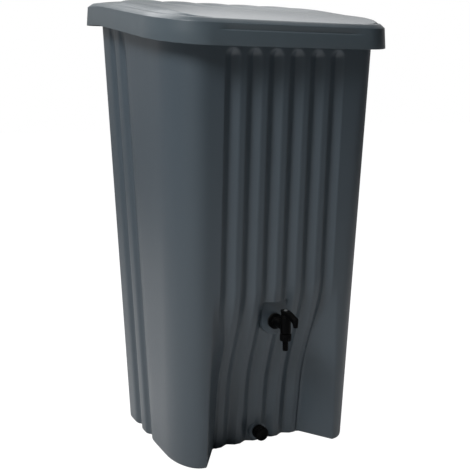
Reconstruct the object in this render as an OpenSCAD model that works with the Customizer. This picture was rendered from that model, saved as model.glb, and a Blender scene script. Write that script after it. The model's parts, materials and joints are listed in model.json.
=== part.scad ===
// Rain barrel: a tapered, fluted water tank with a sloping lift-off lid, a niche
// for a watering can, a quarter-turn outlet tap and a screw-capped drain.
// Millimetres, +Z up. The origin is the centre of the footprint on the ground.
// -Y is the front, where the tap is, and +X is on the right of a person who faces it.

/* [Tank] */
// Outside width at the ground
foot_w = 442; // [380:1:520]
// Outside depth at the ground
foot_d = 360; // [300:1:440]
// Outside width at the height top_h
top_w = 496; // [400:1:600]
// Outside depth at the height top_h
top_d = 466; // [380:1:560]
// Height at which the top width and depth are measured
top_h = 945; // [700:1:1200]
// How far the rounded front corner runs back along the side
corner_run = 100; // [40:1:140]
// Half the width of the flat front at the ground
flat_foot = 165; // [150:1:180]
// Half the width of the flat front at the height top_h
flat_top = 176; // [160:1:200]
// Radius of the back corners
back_r = 20; // [8:1:40]
// Wall thickness
wall = 4; // [2:0.5:8]
// Thickness of the floor
floor_t = 5; // [3:0.5:10]
// How far the rim lip stands out from the wall
lip_w = 18; // [8:1:24]
// Thickness of the rim lip's edge
lip_t = 8; // [3:1:12]
// How far the top of the lip's edge is cut back, to clear the lid's bevel
lip_cut = 6; // [0:0.5:8]

/* [Front flutes] */
// Number of flutes across the front
flute_n = 6; // [2:2:6]
// Distance between the middles of two flutes
flute_pitch = 49; // [40:0.5:60]
// Width of one flute
flute_w = 35; // [20:1:40]
// Depth of one flute
flute_deep = 8; // [3:0.5:12]
// Height of the flutes' round upper ends
flute_top = 900; // [600:1:940]

/* [Side flutes] */
// Width of one side flute
side_flute_w = 36; // [20:1:40]
// Depth of one side flute
side_flute_deep = 9; // [3:0.5:12]
// Distances from the back wall to the back edges of the side flutes
side_flute_at = [133, 65]; // [40:1:180]

/* [Can niche] */
// Height at which the front starts to curve back
niche_h = 395; // [250:1:500]
// Depth of the niche at the ground
niche_deep = 76; // [30:1:100]
// Width of the niche's mouth at the ground
niche_mouth = 326; // [250:1:328]
// Width of the niche's back wall
niche_back = 228; // [150:1:260]

/* [Lid] */
// How far the lid stands out from the tank's wall
lid_over = 28; // [24:1:40]
// Height of the skirt's lower edge at the front
skirt_low = 901; // [800:1:1100]
// Height of the skirt
skirt_h = 42; // [20:1:80]
// Width and height of the bevel round the top
bevel = 10; // [4:1:20]
// Thickness of the lid's walls
lid_t = 3.5; // [2:0.5:6]
// Rise of the lid per millimetre of depth, towards the back
lid_slope = 0.15; // [0:0.01:0.25]
// Number of raised ribs on the lid
rib_n = 6; // [2:1:8]
// Distance between the middles of two ribs
rib_pitch = 84; // [60:1:110]
// Radius of a rib's round back
rib_r = 60; // [40:1:100]

/* [Tap] */
// Height of the tap's axis
tap_z = 317; // [200:1:500]
// Distance of the tap's flat pad behind the front rim
pad_back = 48; // [40:1:60]
// Half the width of the pad
pad_r = 31; // [26:1:40]
// Height of the pad above the tap's axis
pad_up = 45; // [35:1:60]
// Radius of the hole for the tap
tap_hole_r = 13.3; // [10:0.1:17]
// Radius of the tap's threaded shank
shank_r = 13; // [9:0.1:16.5]
// Distance from the pad to the upright spout's axis
tap_reach = 50; // [35:1:80]
// Radius of the hose tail, for a 13 mm hose
tail_r = 6.5; // [5:0.1:10]

/* [Drain] */
// Height of the drain's axis
drain_z = 28; // [24:1:60]
// Radius of the hole for the drain
drain_hole_r = 10.3; // [8:0.1:14]
// Outside radius of the drain's cap
cap_r = 16.5; // [14:0.1:22]

/* [Hidden] */
$fn = 48;
e = 0.5;
deck = skirt_low + skirt_h + bevel;      // front height of the lid's top deck
rim_gap = 0.4;                           // play between the rim and the lid
rim = deck - lid_t - rim_gap;            // front height of the tank's rim
lid_front = -top_d / 2 - 27;             // where the lid's slope starts
lid_bend = 130;                          // where the lid starts to level out
lid_back = top_d / 2 + lid_over + 3;     // back of the lid
bend_drop = 0.00054;                     // how fast the slope levels out
round_z = flute_top - flute_w / 2;       // where a flute's round end starts
profile_n = 6;                           // steps across a flute
arc_n = 8;                               // steps round a front corner

pad_y = -top_d / 2 + pad_back;           // face of the tap's pad
spout_y = pad_y - tap_reach;             // axis of the upright spout
seal_t = 3;
flange_t = 6;
flange_r = 17.5;
neck_r = 10.5;
barrel_r = 11.5;
barrel_low = tap_z - 14;
barrel_top = tap_z + 21;
plug_r = 8;
plug_low = barrel_low + 3;
fit = 0.05;                              // radial play of the turning plug
stem_r = 5;
gland_t = 4;
spout_low = tap_z - 23;
port_r = 5;

drain_y = -top_d / 2 + 122;              // face of the drain's pad
drain_flange_t = 4;
drain_seal_t = 2.5;
spigot_y = drain_y - drain_seal_t - drain_flange_t;
spigot_len = 13.5;
spigot_r = 11.2;
cap_bore_r = 12.1;
cap_seal_t = 1.5;

body_c = "#454d54";
lid_c = "#5b666c";
black_c = "#1b1c1e";
rubber_c = "#2a2a2a";
metal_c = "#b9bcbf";

// ---- shape of the tank ----

function clamp(v) = min(1, max(0, v));
function smooth(v) = let (c = clamp(v)) c * c * (3 - 2 * c);
function half_w(z) = foot_w / 2 + (top_w - foot_w) / 2 * z / top_h;
function half_d(z) = foot_d / 2 + (top_d - foot_d) / 2 * z / top_h;
function flat_x(z) = flat_foot + (flat_top - flat_foot) * z / top_h;

// Height gained by the lid and the rim between the lid's front edge and y.
function rise(y) =
    let (past = max(0, y - lid_bend))
    lid_slope * (y - lid_front) - bend_drop * past * past;

// Depth of the niche at a height, and the front wall's place there.
function niche(z) =
    let (s = z / niche_h)
    s >= 1 ? 0 : niche_deep * (1 - 0.42 * s - 0.58 * smooth((s - 0.35) / 0.65));
function front_y(z) = -half_d(z);
function panel_y(z) = front_y(z) + niche(z);
function niche_x(z) = niche_back / 2 + 28 * (1 - smooth(niche(z) / 35));
function mouth_x(z) = niche_mouth / 2 - 8 * clamp(z / niche_h);

// How much of a flute's width and depth is left near its round end.
function flute_left(z) = z <= round_z ? 1
    : sqrt(max(0, 1 - pow((z - round_z) / (flute_w / 2), 2)));

// Points across one flute of the right half, from the middle outwards.
function flute_points(k, z, t) =
    let (mid = (k + 0.5) * flute_pitch,
         wide = flute_w / 2 * max(0.3, flute_left(z)) + 0.7 * max(0, t),
         low = mid - wide,
         high = k == flute_n / 2 - 1 ? min(mid + wide, niche_x(z) + t) : mid + wide,
         deep = flute_deep * flute_left(z) * clamp((high - low) / flute_w))
    [for (i = [0 : profile_n])
        let (u = i / profile_n)
        [low + (high - low) * u, panel_y(z) + t + deep * (0.5 - 0.5 * cos(360 * u))]];

// Points across one side flute, from the front edge to the back edge.
function side_flute_points(at, z, t, deep) =
    let (x = half_w(z) - t, y = half_d(z) - at, grow = 0.4 * max(0, t))
    [[x, y - side_flute_w - grow], [x - deep, y - side_flute_w + deep - grow],
     [x - deep, y - deep + grow], [x, y + grow]];

// Right half of the outline at height z, moved inwards by t, from the middle of
// the front round to the middle of the back.
function half_outline(z, t, side_deep) =
    let (x0 = flat_x(z), rx = half_w(z) - x0 - t, ry = corner_run - t,
         yc = front_y(z) + corner_run, rb = back_r - min(t, back_r / 2),
         xb = half_w(z) - t - rb, yb = half_d(z) - t - rb)
    concat(
        [for (k = [0 : flute_n / 2 - 1]) each flute_points(k, z, t)],
        [[mouth_x(z) + 0.5 * max(0, t), front_y(z) + t]],
        [for (i = [0 : arc_n])
            let (a = 90 * i / arc_n) [x0 + rx * sin(a), yc - ry * cos(a)]],
        [for (at = side_flute_at) each side_flute_points(at, z, t, side_deep)],
        [for (a = [0 : 30 : 90]) [xb + rb * cos(a), yb + rb * sin(a)]]);

function mirrored(half) =
    concat(half, [for (i = [len(half) - 1 : -1 : 0]) [-half[i][0], half[i][1]]]);
function at_height(ring, z) = [for (p = ring) [p[0], p[1], z]];

// A ring that follows the sloping rim, drop below it: each point is on the outline
// of its own height.
function rim_ring(t, side_deep, drop) =
    let (first = half_outline(rim, t, side_deep),
         heights = [for (p = first) rim - drop + rise(p[1])],
         half = [for (i = [0 : len(first) - 1])
             let (p = half_outline(heights[i], t, side_deep)[i]) [p[0], p[1], heights[i]]])
    concat(half, [for (i = [len(half) - 1 : -1 : 0])
        [-half[i][0], half[i][1], half[i][2]]]);

// The tank's skin is one closed surface: up the outside, over the lip, down the
// inside to the floor.
lower_z = [0, 40, 80, 120, 160, 190, 215, 240, 265, 290, 315, 340, 365, niche_h];
upper_z = [round_z, round_z + 9, round_z + 15, flute_top];
wall_z = concat(lower_z, upper_z);
rings = concat(
    [for (z = wall_z)
        at_height(mirrored(half_outline(z, 0, side_flute_deep)), z)],
    [rim_ring(0, side_flute_deep, 24), rim_ring(-lip_w, 0, lip_t + lip_cut),
     rim_ring(-lip_w, 0, lip_cut), rim_ring(lip_cut - lip_w, 0, 0),
     rim_ring(wall, side_flute_deep, 0)],
    [for (i = [len(wall_z) - 1 : -1 : 1])
        at_height(mirrored(half_outline(wall_z[i], wall, side_flute_deep)), wall_z[i])],
    [at_height(mirrored(half_outline(floor_t, wall, side_flute_deep)), floor_t)]);
ring_n = len(rings[0]);
half_n = ring_n / 2;
corner_i = flute_n / 2 * (profile_n + 1) + 1 + arc_n;  // where the side wall starts

// The front points of a ring from left to right, and a line of points behind them
// at the depth where the side walls start.
front_order = concat([for (i = [ring_n - 1 - corner_i : ring_n - 1]) i],
                     [for (i = [0 : corner_i]) i]);
front_n = len(front_order);
function spine(ring) =
    [for (j = [1 : front_n - 2])
        [ring[front_order[j]][0], ring[corner_i][1], ring[0][2]]];

// Triangles that close a ring, whose spine points start at index s.
function cap_faces(a, s) =
    let (f = [for (i = front_order) a + i],
         m = concat([f[0]], [for (j = [0 : front_n - 3]) s + j], [f[front_n - 1]]))
    concat(
        [for (j = [0 : front_n - 2]) [f[j], f[j + 1], j == front_n - 2 ? m[j] : m[j + 1]]],
        [for (j = [1 : front_n - 3]) [f[j], m[j + 1], m[j]]],
        [for (j = [0 : front_n - 2]) [m[j], m[j + 1], a + corner_i + 1]],
        [[m[0], a + corner_i + 1, a + ring_n - 2 - corner_i]],
        [for (k = [corner_i + 1 : half_n - 2])
            each [[a + ring_n - 1 - k, a + k, a + k + 1],
                  [a + ring_n - 1 - k, a + k + 1, a + ring_n - 2 - k]]]);
function turned(faces) = [for (f = faces) [f[2], f[1], f[0]]];

skin_points = concat([for (r = rings) each r], spine(rings[0]),
                     spine(rings[len(rings) - 1]));
spine_at = len(rings) * ring_n;
skin_faces = concat(
    [for (k = [0 : len(rings) - 2], i = [0 : ring_n - 1])
        let (a = k * ring_n + i, b = k * ring_n + (i + 1) % ring_n)
        each [[a, a + ring_n, b + ring_n], [a, b + ring_n, b]]],
    cap_faces(0, spine_at),
    turned(cap_faces((len(rings) - 1) * ring_n, spine_at + front_n - 2)));

// ---- shared shapes ----

// A round bar along +Y from y0 to y1, on the axis x = 0, z = z0.
module y_bar(r, y0, y1, z0, sides = 48)
    translate([0, y0, z0])
        rotate([-90, 0, 0])
            cylinder(r = r, h = y1 - y0, $fn = sides);

module y_ring(r_out, r_in, y0, y1, z0)
    difference() {
        y_bar(r_out, y0, y1, z0);
        y_bar(r_in, y0 - e, y1 + e, z0);
    }

module z_bar(r, z0, z1)
    translate([0, spout_y, z0])
        cylinder(r = r, h = z1 - z0);

module z_ring(r_out, r_in, z0, z1)
    difference() {
        z_bar(r_out, z0, z1);
        z_bar(r_in, z0 - e, z1 + e);
    }

// Small ribs round a cap or a nut of radius r, as a 2D outline.
module ribbed_disc(r, ribs) {
    circle(r = r - 0.7);
    for (i = [0 : ribs - 1])
        rotate(i * 360 / ribs)
            translate([r - 1.4, 0])
                circle(r = 1.4, $fn = 16);
}

// The solid over a side-view outline of [y, z] points, across the full width.
module across(points, half_x)
    translate([-half_x, 0, 0])
        rotate([90, 0, 90])
            linear_extrude(height = 2 * half_x)
                polygon(points);

// ---- tank ----

// The pad's outline in front view: flat on top and round below.
module pad_outline(r, up) {
    circle(r = r);
    translate([-r, 0])
        square([2 * r, up]);
}

module pad_prism(r, up, y0, y1)
    translate([0, y1, tap_z])
        rotate([90, 0, 0])
            linear_extrude(height = y1 - y0)
                pad_outline(r, up);

pad_low = tap_z - pad_r;
pad_high = tap_z + pad_up;
pad_zs = [pad_low - 4 : 12 : pad_high + 6];

// The pad's solid runs back into the curved wall behind it.
module tap_pad()
    intersection() {
        pad_prism(pad_r, pad_up, pad_y, pad_y + 60);
        across(concat([for (z = pad_zs) [panel_y(z) + wall + flute_deep + 2, z]],
                      [[pad_y - e, pad_high + 6], [pad_y - e, pad_low - 4]]), pad_r + e);
    }

// Closes the gap above the pad, in steps that stay inside the wall's thickness:
// half the width of a step, and how far it is behind the panel's face.
roof_steps = [[10, 1], [14, 3.8], [20, 7], [34, 8.1]];
module pad_roof()
    for (s = roof_steps)
        across([[panel_y(pad_high + 9) + s[1], pad_high + 9],
                [panel_y(pad_high) + s[1], pad_high],
                [pad_y + wall, pad_high - 4], [pad_y + wall, pad_high + 9]], s[0]);

module tank() color(body_c)
    difference() {
        union() {
            polyhedron(skin_points, skin_faces, convexity = 12);
            tap_pad();
            pad_roof();
            y_bar(22, drain_y, panel_y(drain_z) + wall + flute_deep + 2, drain_z);
        }
        pad_prism(pad_r, pad_up, pad_y - 30, pad_y);
        pad_prism(pad_r - wall, pad_up - wall, pad_y + wall, pad_y + 50);
        y_bar(18, drain_y + wall, drain_y + 40, drain_z);
        y_bar(tap_hole_r, pad_y - 10, pad_y + 20, tap_z);
        y_bar(drain_hole_r, drain_y - 10, drain_y + 20, drain_z);
    }

// ---- lid ----

// The lid's outline, moved inwards by t from its widest line.
module lid_outline(t) {
    x0 = flat_top;
    rx = top_w / 2 + lid_over - x0 - t;
    ry = corner_run + lid_over - t;
    y0 = lid_front - 3;
    half = concat(
        [for (i = [0 : 4]) [x0 * i / 5, y0 + t - 5 * cos(90 * i / 5)]],
        [for (a = [0 : 9 : 90]) [x0 + rx * sin(a), y0 + t + ry - ry * cos(a)]],
        [for (a = [0 : 30 : 90])
            [x0 + rx - 14 + 14 * cos(a), lid_back - t - 14 + 14 * sin(a)]]);
    polygon(concat(half, [for (i = [len(half) - 1 : -1 : 1]) [-half[i][0], half[i][1]]]));
}

lid_ys = concat([lid_front - 40, lid_bend], [for (y = [lid_bend + 20 : 20 : 290]) y]);

// Everything under the sloping surface whose front height is z.
module under(z, half_x = 400)
    across(concat([[lid_ys[len(lid_ys) - 1], 700], [lid_ys[0], 700]],
                  [for (y = lid_ys) [y, z + rise(y)]]), half_x);

// A slab of the lid: its outline moved in by t, up to the surface of front height z.
module lid_tier(t, z)
    intersection() {
        translate([0, 0, skirt_low - 30])
            linear_extrude(height = 300)
                lid_outline(t);
        under(z);
    }

module lid_block(t)
    hull() {
        lid_tier(t, skirt_low + skirt_h - 0.6 * t);
        lid_tier(t + bevel, deck - t);
    }

// One rib is the part of a long round bar that stands out of the deck.
module lid_rib(k) {
    rib_start = lid_front + 130;
    rib_tilt = atan(lid_slope + 0.018);
    x = (k - (rib_n - 1) / 2) * rib_pitch;
    translate([x, rib_start, deck + rise(rib_start) - rib_r / cos(rib_tilt)])
        rotate([rib_tilt - 90, 0, 0])
            cylinder(r = rib_r, h = 500, $fn = 96);
}

module lid() color(lid_c)
    union() {
        difference() {
            lid_block(0);
            lid_block(lid_t);
            under(skirt_low);
        }
        intersection() {
            union() for (k = [0 : rib_n - 1]) lid_rib(k);
            translate([0, 0, deck - 20])
                linear_extrude(height = 200)
                    lid_outline(bevel + 4);
            difference() {
                translate([-300, lid_front, deck - 30])
                    cube([600, 600, 300]);
                under(deck - 0.5 * lid_t);
            }
        }
    }

// ---- tap ----

module tap_body() color(black_c)
    difference() {
        union() {
            y_bar(flange_r, pad_y - seal_t - flange_t, pad_y - seal_t, tap_z);
            y_bar(shank_r, pad_y - seal_t, pad_y + wall + 19, tap_z);
            y_bar(neck_r, spout_y, pad_y - seal_t - flange_t, tap_z);
            z_bar(barrel_r, barrel_low, barrel_top);
            z_bar(9.5, spout_low, barrel_low);
        }
        y_bar(8, spout_y + barrel_r + 1, pad_y + wall + 20, tap_z);
        y_bar(port_r + 0.5, spout_y, pad_y, tap_z);
        z_bar(plug_r + fit, plug_low, barrel_top + e);
        z_bar(port_r, spout_low - e, plug_low + e);
    }

module tap_outer_seal() color(rubber_c)
    y_ring(flange_r - 0.5, shank_r + 0.4, pad_y - seal_t, pad_y, tap_z);

module tap_inner_seal() color(rubber_c)
    y_ring(18.5, shank_r + 0.4, pad_y + wall, pad_y + wall + seal_t, tap_z);

module tap_backnut() color(black_c)
    difference() {
        y_bar(21, pad_y + wall + seal_t, pad_y + wall + seal_t + 9, tap_z, 6);
        y_bar(shank_r + 0.05, pad_y, pad_y + 40, tap_z);
    }

module tap_gland() color(black_c)
    z_ring(barrel_r, stem_r + fit, barrel_top, barrel_top + gland_t);

// The plug has an L-shaped port, which faces sideways while the tap is shut.
ring_zs = [barrel_top - 10, barrel_top - 4.5];
module tap_plug() color(black_c)
    difference() {
        union() {
            z_bar(plug_r, plug_low + 0.1, barrel_top - 0.1);
            z_bar(stem_r, barrel_top - 1, barrel_top + gland_t + 10);
        }
        z_bar(port_r, plug_low - e, tap_z + port_r);
        translate([0, spout_y, tap_z])
            rotate([0, 90, 0])
                cylinder(r = port_r, h = plug_r + 2);
        z_bar(1.6, barrel_top - 1, barrel_top + gland_t + 12);
        for (z = ring_zs)
            z_ring(plug_r + 2, plug_r - 2, z - 1.05, z + 1.05);
    }

module tap_plug_rings() color(rubber_c)
    for (z = ring_zs)
        translate([0, spout_y, z])
            rotate_extrude($fn = 48)
                translate([plug_r - 0.97, 0])
                    circle(r = 0.95, $fn = 20);

lever_z = barrel_top + gland_t + 0.3;
module tap_lever() color(black_c)
    difference() {
        union() {
            z_bar(10.5, lever_z, lever_z + 9);
            translate([0, spout_y, lever_z])
                hull() {
                    translate([0, 10, 4.5]) cylinder(r = 7, h = 5, $fn = 32);
                    translate([0, -8, 2]) cylinder(r = 8, h = 7.5, $fn = 32);
                }
            translate([0, spout_y, lever_z])
                hull() {
                    translate([0, -8, 2]) cylinder(r = 8, h = 7.5, $fn = 32);
                    translate([0, -40, -7]) cylinder(r = 7, h = 8, $fn = 32);
                }
            translate([0, spout_y - 40, lever_z])
                hull() {
                    translate([0, 0, -7]) cylinder(r = 7, h = 3, $fn = 32);
                    translate([0, -2, -17]) cylinder(r = 5, h = 3, $fn = 32);
                }
        }
        z_bar(stem_r + 0.02, lever_z - e, lever_z + 12);
        z_bar(barrel_r + 1, lever_z - 20, lever_z);
    }

module tap_lever_screw() color(metal_c)
    union() {
        z_bar(4.2, barrel_top + gland_t + 10, barrel_top + gland_t + 12.5);
        z_bar(1.55, barrel_top, barrel_top + gland_t + 10);
    }

nut_low = spout_low - 8;
tail_top = spout_low - 2;
module spout_nut() color(black_c)
    difference() {
        translate([0, spout_y, nut_low])
            linear_extrude(height = 14)
                ribbed_disc(12.5, 16);
        z_bar(9.6, nut_low + 3.4, nut_low + 15);
        z_bar(tail_r + 0.3, nut_low - e, nut_low + 4);
    }

module hose_nozzle() color(black_c)
    difference() {
        union() {
            z_bar(9.3, nut_low + 3.5, tail_top);
            z_bar(tail_r - 0.2, nut_low - e, nut_low + 4);
            z_bar(tail_r, tap_z - 51, nut_low);
            translate([0, spout_y, tap_z - 54])
                cylinder(r1 = tail_r - 1.2, r2 = tail_r, h = 3);
        }
        z_bar(port_r, tap_z - 55, tail_top + e);
    }

module nozzle_seal() color(rubber_c)
    z_ring(9.2, port_r + 0.3, tail_top, spout_low);

// ---- drain ----

module drain_spigot() color(black_c)
    difference() {
        union() {
            y_bar(15.5, spigot_y, drain_y - drain_seal_t, drain_z);
            y_bar(spigot_r, spigot_y - spigot_len, spigot_y, drain_z);
            y_bar(drain_hole_r - 0.3, drain_y - drain_seal_t, drain_y + 20, drain_z);
        }
        y_bar(7, spigot_y - 20, drain_y + 30, drain_z);
    }

module drain_outer_seal() color(rubber_c)
    y_ring(15, drain_hole_r, drain_y - drain_seal_t, drain_y, drain_z);

module drain_inner_seal() color(rubber_c)
    y_ring(15, drain_hole_r, drain_y + wall, drain_y + wall + drain_seal_t, drain_z);

module drain_backnut() color(black_c)
    difference() {
        y_bar(17, drain_y + wall + drain_seal_t, drain_y + wall + drain_seal_t + 8,
              drain_z, 6);
        y_bar(drain_hole_r - 0.25, drain_y, drain_y + 30, drain_z);
    }

cap_end = spigot_y - spigot_len - cap_seal_t - 3;
module drain_cap() color(black_c)
    difference() {
        translate([0, spigot_y - 1, drain_z])
            rotate([90, 0, 0])
                linear_extrude(height = spigot_y - 1 - cap_end)
                    ribbed_disc(cap_r, 20);
        y_bar(cap_bore_r, cap_end + 3, spigot_y, drain_z);
    }

module drain_cap_seal() color(rubber_c)
    y_bar(11.4, cap_end + 3.05, spigot_y - spigot_len - 0.05, drain_z);

tank();
lid();
tap_body();
tap_outer_seal();
tap_inner_seal();
tap_backnut();
tap_gland();
tap_plug();
tap_plug_rings();
tap_lever();
tap_lever_screw();
spout_nut();
hose_nozzle();
nozzle_seal();
drain_spigot();
drain_outer_seal();
drain_inner_seal();
drain_backnut();
drain_cap();
drain_cap_seal();
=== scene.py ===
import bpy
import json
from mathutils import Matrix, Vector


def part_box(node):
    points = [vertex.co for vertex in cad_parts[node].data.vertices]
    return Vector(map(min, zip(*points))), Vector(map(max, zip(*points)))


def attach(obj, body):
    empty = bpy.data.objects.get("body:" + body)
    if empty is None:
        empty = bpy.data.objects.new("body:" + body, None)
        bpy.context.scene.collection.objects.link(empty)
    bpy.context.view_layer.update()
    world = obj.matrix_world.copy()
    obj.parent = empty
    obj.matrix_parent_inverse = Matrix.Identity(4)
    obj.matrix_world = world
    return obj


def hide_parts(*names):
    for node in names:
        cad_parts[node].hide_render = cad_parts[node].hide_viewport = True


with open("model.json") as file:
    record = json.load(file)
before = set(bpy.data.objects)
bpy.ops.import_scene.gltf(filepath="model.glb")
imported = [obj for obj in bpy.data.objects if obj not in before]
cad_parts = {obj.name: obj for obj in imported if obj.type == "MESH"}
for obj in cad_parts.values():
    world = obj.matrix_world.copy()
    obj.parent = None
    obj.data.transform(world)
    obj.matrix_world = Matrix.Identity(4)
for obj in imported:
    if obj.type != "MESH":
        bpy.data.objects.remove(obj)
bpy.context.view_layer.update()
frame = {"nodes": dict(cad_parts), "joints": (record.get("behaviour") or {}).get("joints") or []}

import json
import logging
import math
from dataclasses import dataclass
from enum import Enum
from typing import Any, Callable, Sequence

import bmesh
import bpy
import numpy as np

LOG = logging.getLogger("rain_barrel")
Piece = bpy.types.Object
Socket = Any
MM = 0.001

TANK_LOW, TANK_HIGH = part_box("tank")
LID_LOW, LID_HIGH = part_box("lid")
JOINTS = {joint["name"]: joint for joint in frame["joints"]}


class Body(str, Enum):
    """The bodies of the frame that a piece can ride on."""

    BARREL = "barrel"
    LID = "lid"
    VALVE = "valve"
    DRAIN_CAP = "drain_cap"


class Slot(str, Enum):
    """The record's material slots."""

    TANK = "tank_plastic"
    LID = "lid_plastic"
    BLACK = "black_plastic"
    RUBBER = "rubber"
    STEEL = "steel"


class Axis(Enum):
    """Which way a turned part's axis points."""

    UP = "up"
    FRONT = "front"


# ---- numbers and meshes ----


def smooth(value: np.ndarray | float) -> np.ndarray | float:
    """Eases a value from 0 to 1 between 0 and 1."""
    held = np.clip(value, 0.0, 1.0)
    return held * held * (3 - 2 * held)


def new_piece(name: str, points: Sequence, faces: Sequence) -> Piece:
    """Makes a mesh object at the origin.

    Args:
        name: the object's name.
        points: the vertices, in metres.
        faces: lists of vertex numbers.

    Returns:
        The new object, linked into the scene.
    """
    mesh = bpy.data.meshes.new(name)
    mesh.from_pydata([tuple(map(float, p)) for p in points], [], [list(map(int, f)) for f in faces])
    mesh.update()
    piece = bpy.data.objects.new(name, mesh)
    bpy.context.scene.collection.objects.link(piece)
    return piece


def edit(piece: Piece, change: Callable[[bmesh.types.BMesh], Any]) -> Piece:
    """Runs one change on a piece's mesh.

    Args:
        piece: the piece to change.
        change: called with the open mesh.

    Returns:
        The same piece.
    """
    mesh = bmesh.new()
    mesh.from_mesh(piece.data)
    change(mesh)
    mesh.to_mesh(piece.data)
    mesh.free()
    piece.data.update()
    return piece


def face_out(piece: Piece) -> Piece:
    """Merges doubles and turns every face of a closed mesh outwards."""

    def change(mesh: bmesh.types.BMesh) -> None:
        """Merges, then recalculates."""
        bmesh.ops.remove_doubles(mesh, verts=mesh.verts, dist=1e-6)
        bmesh.ops.recalc_face_normals(mesh, faces=mesh.faces)

    return edit(piece, change)


def settle(piece: Piece) -> Piece:
    """Turns a piece's modifiers into plain mesh and removes them."""
    bpy.context.view_layer.update()
    graph = bpy.context.evaluated_depsgraph_get()
    made = bpy.data.meshes.new_from_object(piece.evaluated_get(graph))
    piece.modifiers.clear()
    old, piece.data = piece.data, made
    bpy.data.meshes.remove(old)
    made.name = piece.name
    return piece


def shade(piece: Piece, angle: float = 32.0) -> Piece:
    """Shades a piece smooth, with edges over the angle, in degrees, kept sharp."""
    piece.data.shade_smooth()
    piece.data.set_sharp_from_angle(angle=math.radians(angle))
    return piece


def join(name: str, parts: Sequence[Piece]) -> Piece:
    """Puts several meshes into one piece and removes them.

    Args:
        name: the joined piece's name.
        parts: the pieces to join.

    Returns:
        The joined piece.
    """
    mesh = bmesh.new()
    for part in parts:
        mesh.from_mesh(part.data)
        old = part.data
        bpy.data.objects.remove(part)
        bpy.data.meshes.remove(old)
    joined = new_piece(name, [], [])
    mesh.to_mesh(joined.data)
    mesh.free()
    return joined


def combine(piece: Piece, tool: Piece, operation: str) -> Piece:
    """Adds a tool's solid to a piece, or cuts it away, and removes the tool.

    Args:
        piece: the piece to change.
        tool: a closed mesh.
        operation: UNION or DIFFERENCE.

    Returns:
        The changed piece.
    """
    modifier = piece.modifiers.new("combine", "BOOLEAN")
    modifier.operation, modifier.object, modifier.solver = operation, tool, "EXACT"
    settle(piece)
    old = tool.data
    bpy.data.objects.remove(tool)
    bpy.data.meshes.remove(old)
    return piece


def melt(name: str, parts: Sequence[Piece], voxel: float, passes: int) -> Piece:
    """Joins overlapping solids into one moulding with soft inner corners and edges.

    Args:
        name: the moulding's name.
        parts: closed meshes that overlap.
        voxel: the size of one cell of the new skin, in metres.
        passes: how many times the skin is smoothed.

    Returns:
        The moulding.
    """
    piece = join(name, parts)
    skin = piece.modifiers.new("skin", "REMESH")
    skin.mode, skin.voxel_size = "VOXEL", voxel
    soft = piece.modifiers.new("soft", "SMOOTH")
    soft.factor, soft.iterations = 0.5, passes
    return shade(settle(piece), 50)


def eased(points: Sequence, radius: float, steps: int = 3) -> list:
    """Rounds the inner corners of an open 2D line.

    Args:
        points: the line's corners.
        radius: how far from a corner the rounding starts, in metres.
        steps: how many parts each rounding has.

    Returns:
        The rounded line's points.
    """
    line = [np.array(p, float) for p in points]
    made = [line[0]]
    for before, corner, after in zip(line, line[1:], line[2:]):
        back, ahead = before - corner, after - corner
        reach = min(radius, 0.45 * np.linalg.norm(back), 0.45 * np.linalg.norm(ahead))
        start = corner + back / np.linalg.norm(back) * reach
        end = corner + ahead / np.linalg.norm(ahead) * reach
        for u in np.linspace(0, 1, steps + 1):
            made.append((1 - u) ** 2 * start + 2 * u * (1 - u) * corner + u * u * end)
    return made + [line[-1]]


def place(radius: float, angle: float, along: float, centre: Sequence, axis: Axis) -> tuple:
    """Gives the point at a radius, an angle and a distance along an axis through centre."""
    across, other = radius * math.cos(angle), radius * math.sin(angle)
    if axis is Axis.UP:
        return centre[0] + across, centre[1] + other, centre[2] + along
    return centre[0] + across, centre[1] - along, centre[2] + other


def turned(
    name: str, line: Sequence, centre: Sequence, axis: Axis, sides: int = 64, soft: float = 0.0
) -> Piece:
    """Turns a side line round an axis into a closed solid.

    Args:
        name: the piece's name.
        line: (radius, distance along the axis) points. It is closed if both ends are off the axis.
        centre: a point on the axis.
        axis: the way the axis points.
        sides: how many sides the solid has.
        soft: the rounding of the line's corners, in metres.

    Returns:
        The turned piece.
    """
    points = [tuple(p) for p in (eased(line, soft) if soft else line)]
    closed = points[0][0] > 1e-7
    verts = [
        place(max(r, 0.0), 2 * math.pi * k / sides, a, centre, axis) for r, a in points for k in range(sides)
    ]
    rows = len(points) if closed else len(points) - 1
    faces = [
        [
            i * sides + k,
            i * sides + (k + 1) % sides,
            (i + 1) % len(points) * sides + (k + 1) % sides,
            (i + 1) % len(points) * sides + k,
        ]
        for i in range(rows)
        for k in range(sides)
    ]
    return shade(face_out(new_piece(name, verts, faces)))


def rod(radius: float, low: float, high: float, centre: Sequence, axis: Axis, sides: int = 48) -> Piece:
    """Makes a plain round bar, used as a part of a moulding or to cut a bore."""
    return turned("rod", [(0, low), (radius, low), (radius, high), (0, high)], centre, axis, sides)


def wrapped(name: str, points: Sequence) -> Piece:
    """Makes the smallest convex solid round some points."""

    def change(mesh: bmesh.types.BMesh) -> None:
        """Wraps the loose points and drops the ones inside."""
        made = bmesh.ops.convex_hull(mesh, input=mesh.verts)
        loose = {v for v in made["geom_interior"] if isinstance(v, bmesh.types.BMVert)}
        bmesh.ops.delete(mesh, geom=list(loose), context="VERTS")

    return face_out(edit(new_piece(name, points, []), change))


def prism(outline: Sequence, front: float, back: float) -> Piece:
    """Makes the solid between two y planes over an outline of (x, z) points."""
    count = len(outline)
    verts = [(x, front, z) for x, z in outline] + [(x, back, z) for x, z in outline]
    sides = [[k, (k + 1) % count, count + (k + 1) % count, count + k] for k in range(count)]
    return face_out(
        new_piece("prism", verts, sides + [list(range(count)), list(range(2 * count - 1, count - 1, -1))])
    )


# ---- node trees ----


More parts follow.
